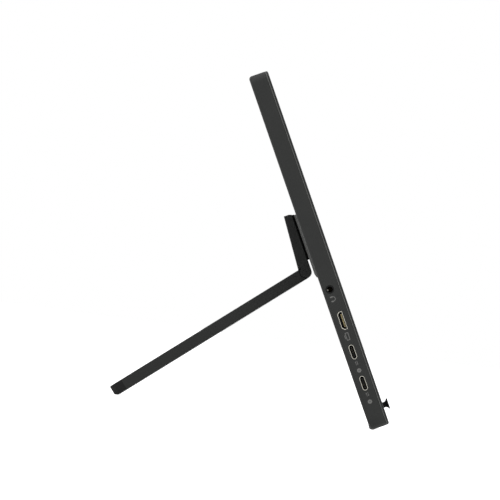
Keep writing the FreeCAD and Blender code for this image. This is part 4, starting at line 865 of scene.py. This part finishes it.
class MONITOR_OT_sockets(bpy.types.Operator):
    """Finish the sockets in the left side and set their contacts"""

    bl_idname = "monitor.sockets"
    bl_label = "Sockets"

    def execute(self, context):
        tones = context.scene.monitor_finish
        sizes = context.scene.monitor_contacts
        nickel = plated_metal("nickel_plated_steel", tones.nickel, rough=0.3, stretch_share=0.2)
        gold = plated_metal("gold_plated_contacts", tones.gold, rough=0.28, stretch_share=0.2)
        resin = moulded_plastic("black_socket_resin", tones.foam, rough=0.6, gloss=0.15)
        levels = ("lower", "upper")
        dress(nickel, *[f"data_socket_{level}_shell" for level in levels], "video_socket_shell")
        dress(resin, *[f"data_socket_{level}_tongue" for level in levels], "video_socket_tongue")
        dress(resin, "audio_jack_body")
        # The contact at the bottom of the jack's bore is darkened to near black: painted shade for the deep
        # bore, not the gold's own tone
        painted_shade_gold = toned(tones.gold, share=0.06)
        painted_shade_contact = plated_metal("painted_shade_jack_contact", painted_shade_gold, rough=0.5, stretch_share=0.2)
        dress(painted_shade_contact, "audio_jack_contact")
        for level in levels:
            rows = self.data_rows(f"data_socket_{level}_tongue", sizes)
            settle(join(rows), f"data_contacts_{level}", SLAB, gold)
        comb = self.video_comb(sizes)
        settle(comb, "video_contacts", SLAB, gold)
        leaf = self.jack_leaf(sizes)
        dark_nickel = toned(tones.nickel, share=0.3)
        spring = plated_metal("dull_leaf_nickel", dark_nickel, rough=0.4, stretch_share=0.2)
        settle(leaf, "jack_leaf", SLAB, spring)
        return {"FINISHED"}

    def data_rows(self, tongue, sizes):
        """A row of contacts on each face of a tongue."""
        low, high = slab_box(tongue, sizes.stand_proud)
        middle = (low + high) / 2
        size = (sizes.data_length, 2 * sizes.stand_proud, sizes.data_width)
        start = low.x + sizes.inset + sizes.data_length / 2
        rows = []
        for face in (low.y, high.y):
            centre = Vector((start, face, middle.z))
            rows.append(contact_row(centre, size, sizes.edge, sizes.data_pitch, sizes.data_count))
        return rows

    def video_comb(self, sizes):
        """Contacts that lie round the video socket's tongue and show at its end."""
        low, high = slab_box("video_socket_tongue", sizes.stand_proud)
        middle = (low + high) / 2
        height = high.y - low.y + 2 * sizes.stand_proud
        start = low.x - sizes.stand_proud + sizes.video_length / 2
        centre = Vector((start, middle.y, middle.z))
        size = (sizes.video_length, height, sizes.video_width)
        return contact_row(centre, size, sizes.edge, sizes.video_pitch, sizes.video_count)

    def jack_leaf(self, sizes):
        """A bent spring leaf at the back of the audio jack's bore."""
        low, high = slab_box("audio_jack_contact")
        middle = (low + high) / 2
        mouth = slab_box("rear_cover")[0].x
        wall = middle.y + sizes.jack_radius - sizes.leaf_wall
        place = (mouth + sizes.leaf_depth, wall - sizes.leaf_length / 2, middle.z)
        begin(bpy.ops.mesh.primitive_plane_add, size=1, location=place, rotation=(0, QUARTER_TURN, 0))
        bpy.ops.transform.resize(value=(1, sizes.leaf_length, sizes.leaf_width), center_override=place)
        pick(lambda spot: spot.y > 0)
        bpy.ops.mesh.extrude_region_move(TRANSFORM_OT_translate={"value": (sizes.leaf_bend, 0, 0)})
        leaf = close()
        wall_maker = leaf.modifiers.new("wall", "SOLIDIFY")
        wall_maker.thickness = sizes.leaf_wall
        rounding = leaf.modifiers.new("rounding", "BEVEL")
        rounding.width = sizes.edge
        rounding.segments = 2
        for modifier in ("wall", "rounding"):
            bpy.ops.object.modifier_apply(modifier=modifier)
        return leaf


class MONITOR_OT_marks(bpy.types.Operator):
    """Print the small signs beside the sockets"""

    bl_idname = "monitor.marks"
    bl_label = "Printed marks"

    def execute(self, context):
        sizes = context.scene.monitor_marks
        ink = printed_ink("pale_grey_ink", context.scene.monitor_finish.ink)
        band = self.headphones(sizes)
        self.print_sign(band, "headphone_mark", "audio_jack_body", sizes.headphone_drop, ink)
        outline = self.screen_sign(sizes)
        self.print_sign(outline, "screen_mark", "video_socket_tongue", sizes.video_drop, ink)
        for level in ("lower", "upper"):
            socket = f"data_socket_{level}_tongue"
            self.print_sign(self.arrows(sizes), f"transfer_mark_{level}", socket, sizes.arrow_drop, ink)
            self.print_sign(self.charge(sizes), f"charge_mark_{level}", socket, sizes.disc_drop, ink)
        return {"FINISHED"}

    def print_sign(self, sign, name, socket, drop, ink):
        """Prints a sign on the side, this far below a socket's middle."""
        low, high = slab_box(socket)
        middle = (low + high) / 2
        middle.x = slab_box("rear_cover")[0].x
        middle.z -= drop
        settle(sign, name, Matrix.Translation(SLAB @ middle) @ PRINT, ink)

    def headphones(self, sizes):
        """A band with a cup at each end."""
        parts = [disc((0, 0, 0), sizes.band_radius, sizes.stroke, True)]
        reach = sizes.band_radius - sizes.stroke / 2
        for side in (-reach, reach):
            cup = (side, -sizes.ear_height / 2, 0)
            corner = CUP_ROUND_SHARE * sizes.ear_width
            parts.append(panel(cup, sizes.ear_width, sizes.ear_height, corner))
        return thicken(join(parts), sizes.ink_height)

    def screen_sign(self, sizes):
        """A screen's outline on a foot."""
        outline = panel((0, 0, 0), sizes.frame_width, sizes.frame_height, sizes.frame_round, sizes.stroke)
        drop = sizes.frame_height / 2 + sizes.foot_gap + sizes.stroke / 2
        foot = panel((0, -drop, 0), sizes.foot_width, sizes.stroke, BAR_ROUND_SHARE * sizes.stroke)
        return thicken(join([outline, foot]), sizes.ink_height)

    def charge(self, sizes):
        """A disc with a spark of two wedges left open in it."""
        lean = SPARK_SIDE_SHARE * sizes.bolt_width
        half = sizes.bolt_height / 2
        wedges = [
            wedge((lean, 0, 0), sizes.bolt_width, half, 0),
            wedge((-lean, 0, 0), sizes.bolt_width, half, HALF_TURN),
        ]
        spark = thicken(join(wedges), CUTTER_SHARE * sizes.ink_height)
        bpy.ops.transform.translate(value=(0, 0, -sizes.ink_height))
        return carve(thicken(disc((0, 0, 0), sizes.disc_radius), sizes.ink_height), spark)

    def arrows(self, sizes):
        """Two arrows side by side that point opposite ways."""
        parts = []
        shaft = sizes.arrow_length - 2 * sizes.arrow_head
        for way in (-1, 1):
            rise = way * sizes.arrow_gap / 2
            middle = (-way * sizes.arrow_head, rise, 0)
            parts.append(panel(middle, shaft, sizes.arrow_stroke, BAR_ROUND_SHARE * sizes.arrow_stroke))
            base = (way * (shaft / 2 - sizes.arrow_head), rise, 0)
            parts.append(wedge(base, 2 * sizes.arrow_head, 2 * sizes.arrow_head, -way * QUARTER_TURN))
        return thicken(join(parts), sizes.ink_height)


class MONITOR_OT_joystick(bpy.types.Operator):
    """Finish the joystick's switch and its rubber cap"""

    bl_idname = "monitor.joystick"
    bl_label = "Joystick"

    def execute(self, context):
        tones = context.scene.monitor_finish
        dress(moulded_rubber("black_silicone_cap", tones.knob, rough=0.7, gloss=0.12), "joystick_cap")
        resin = moulded_plastic("black_acetal_switch", tones.foam, rough=0.45, gloss=0.2)
        dress(resin, "joystick_case", "joystick_stem", "joystick_gimbal", "joystick_carrier")
        metal = plated_metal("switch_steel", tones.steel, rough=0.3, stretch_share=0.2)
        dress(metal, "joystick_lid", "joystick_dome", "joystick_screws")
        return {"FINISHED"}


class MONITOR_OT_stand(bpy.types.Operator):
    """Finish the plate, the pad, the bracket, the hinge and the leg"""

    bl_idname = "monitor.stand"
    bl_label = "Stand"

    def execute(self, context):
        tones = context.scene.monitor_finish
        dress(sprayed_steel("satin_painted_plate", tones.plate), "mount_plate")
        dress(closed_foam("black_foam_pad", tones.foam), "bracket_pad")
        plastic = moulded_plastic("matt_abs_stand", tones.stand, rough=0.55, gloss=0.2)
        dress(plastic, "stand_bracket", "leg_shell", "leg_cover", "hinge_caps")
        dress(plated_metal("brass_inserts", tones.gold, rough=0.4, stretch_share=0.3), "bracket_inserts")
        steel = plated_metal("zinc_plated_hinge", tones.steel, rough=0.35, stretch_share=0.1)
        dress(steel, "bracket_screws", "hinge_pin", "friction_sleeves", "leg_stiffener")
        return {"FINISHED"}


class MONITOR_OT_feet(bpy.types.Operator):
    """Finish the rubber that the monitor stands on"""

    bl_idname = "monitor.feet"
    bl_label = "Feet"

    def execute(self, context):
        rubber = context.scene.monitor_finish.rubber
        dress(moulded_rubber("black_rubber_feet", rubber, rough=0.8, gloss=0.2), "leg_foot", "bottom_feet")
        return {"FINISHED"}


class MONITOR_OT_stage(bpy.types.Operator):
    """Set the floor, the soft lamps, the white surroundings and the camera"""

    bl_idname = "monitor.stage"
    bl_label = "Stage"

    def execute(self, context):
        sizes = context.scene.monitor_stage
        context.scene.view_settings.view_transform = "Standard"
        self.lay_floor(sizes)
        self.light_room(context.scene, sizes)
        for name, place, power in (
            ("top_lamp", sizes.top_place, sizes.top_power),
            ("side_lamp", sizes.side_place, sizes.side_power),
            ("front_lamp", sizes.front_place, sizes.front_power),
            ("back_lamp", sizes.back_place, sizes.back_power),
        ):
            self.hang_lamp(name, Vector(place), power, sizes)
        self.set_camera(context.scene, sizes)
        return {"FINISHED"}

    def lay_floor(self, sizes):
        """A pale floor that the camera and mirrors see as white, except in the object's shadow."""
        level = (0, 0, CAD_BOX[0].z - sizes.floor_gap)
        begin(bpy.ops.mesh.primitive_plane_add, size=sizes.floor_size, location=level)
        floor = close()
        floor.name = "floor"
        values = {
            "Base Color": opaque(sizes.floor_shade),
            "Roughness": 0.9,
            "Specular IOR Level": 0.0,
            "Emission Color": WHITE,
        }
        material, tree, shader, _ = start_material("pale_floor", values)
        # At a glancing angle the floor's emission rises to white, a painted reflection of the white
        # surroundings, and the shadow fades
        glance = add_node(tree, "LayerWeight").outputs["Facing"]
        shine = add_node(
            tree,
            "MapRange",
            inputs={"Value": glance, "From Min": sizes.glance_share, "To Min": sizes.floor_lift},
        )
        lift = add_node(
            tree, "Math", {"operation": "MULTIPLY"}, {0: self.seen_rays(tree), 1: shine.outputs[0]}
        )
        feed(tree, shader, {"Emission Strength": lift.outputs[0]})
        floor.data.materials.append(material)

    def seen_rays(self, tree):
        """One for the rays that show the surroundings: to the camera, in mirrors and through glass."""
        path = add_node(tree, "LightPath")
        both = add_node(
            tree,
            "Math",
            {"operation": "MAXIMUM"},
            {0: path.outputs["Is Camera Ray"], 1: path.outputs["Is Glossy Ray"]},
        )
        seen = add_node(
            tree,
            "Math",
            {"operation": "MAXIMUM"},
            {0: both.outputs[0], 1: path.outputs["Is Transmission Ray"]},
        )
        return seen.outputs[0]

    def light_room(self, scene, sizes):
        """White surroundings that light the object evenly at the ambient level."""
        world = bpy.data.worlds.new("white_surroundings")
        world.use_nodes = True
        scene.world = world
        tree = world.node_tree
        strength = add_node(
            tree, "MapRange", inputs={"Value": self.seen_rays(tree), "To Min": sizes.ambient}
        )
        shine = tree.nodes["Background"]
        shine.inputs["Color"].default_value = WHITE
        tree.links.new(strength.outputs[0], shine.inputs["Strength"])

    def hang_lamp(self, name, place, power, sizes):
        """A large soft lamp that faces the object."""
        middle = Vector([(low + high) / 2 for low, high in zip(*CAD_BOX)])
        bpy.ops.object.light_add(type="AREA", location=place)
        lamp = bpy.context.object
        lamp.name = name
        lamp.rotation_euler = (middle - place).to_track_quat("-Z", "Y").to_euler()
        lamp.data.energy = power
        lamp.data.size = sizes.lamp_side
        lamp.visible_camera = False

    def set_camera(self, scene, sizes):
        """A far camera with a long lens, near the height of the hinge, that looks at the left side."""
        corner = slab_box("front_bezel")[0]
        corner.x = CAD_BOX[0].x
        aim = SLAB @ (corner + Vector((0, sizes.aim_depth, sizes.aim_rise)))
        place = SLAB @ (corner + Vector((-sizes.distance, sizes.eye_depth, sizes.eye_rise)))
        back = (place - aim).normalized()
        roll = LEAN - sizes.seen_lean
        right = Vector((0, math.sin(roll), math.cos(roll))).cross(back).normalized()
        bpy.ops.object.camera_add()
        camera = bpy.context.object
        axes = Matrix((right, back.cross(right), back)).transposed().to_4x4()
        camera.matrix_world = Matrix.Translation(place) @ axes
        camera.data.sensor_width = sizes.sensor
        camera.data.lens = sizes.sensor * sizes.distance / sizes.view_width
        camera.data.clip_end = SIGHT_SHARE * sizes.distance
        scene.camera = camera


OPERATORS = (
    MONITOR_OT_casing,
    MONITOR_OT_screen,
    MONITOR_OT_electronics,
    MONITOR_OT_sockets,
    MONITOR_OT_marks,
    MONITOR_OT_joystick,
    MONITOR_OT_stand,
    MONITOR_OT_feet,
    MONITOR_OT_stage,
)


class MONITOR_PT_pieces(bpy.types.Panel):
    """Lists the steps that dress the monitor"""

    bl_idname = "MONITOR_PT_pieces"
    bl_label = "Portable monitor"
    bl_space_type = "VIEW_3D"
    bl_region_type = "UI"
    bl_category = "Monitor"

    def draw(self, context):
        for operator in OPERATORS:
            self.layout.operator(operator.bl_idname)


GROUPS = {
    "monitor_finish": MonitorFinish,
    "monitor_marks": MonitorMarks,
    "monitor_contacts": MonitorContacts,
    "monitor_screen": MonitorScreen,
    "monitor_stage": MonitorStage,
}
CLASSES = (*GROUPS.values(), *OPERATORS, MONITOR_PT_pieces)


def register():
    for kind in CLASSES:
        bpy.utils.register_class(kind)
    for name, kind in GROUPS.items():
        setattr(bpy.types.Scene, name, PointerProperty(type=kind))


def unregister():
    for name in GROUPS:
        delattr(bpy.types.Scene, name)
    for kind in reversed(CLASSES):
        bpy.utils.unregister_class(kind)


def main():
    register()
    bpy.ops.monitor.casing()
    bpy.ops.monitor.screen()
    bpy.ops.monitor.electronics()
    bpy.ops.monitor.sockets()
    bpy.ops.monitor.marks()
    bpy.ops.monitor.joystick()
    bpy.ops.monitor.stand()
    bpy.ops.monitor.feet()
    bpy.ops.monitor.stage()


if __name__ == "__main__":
    main()
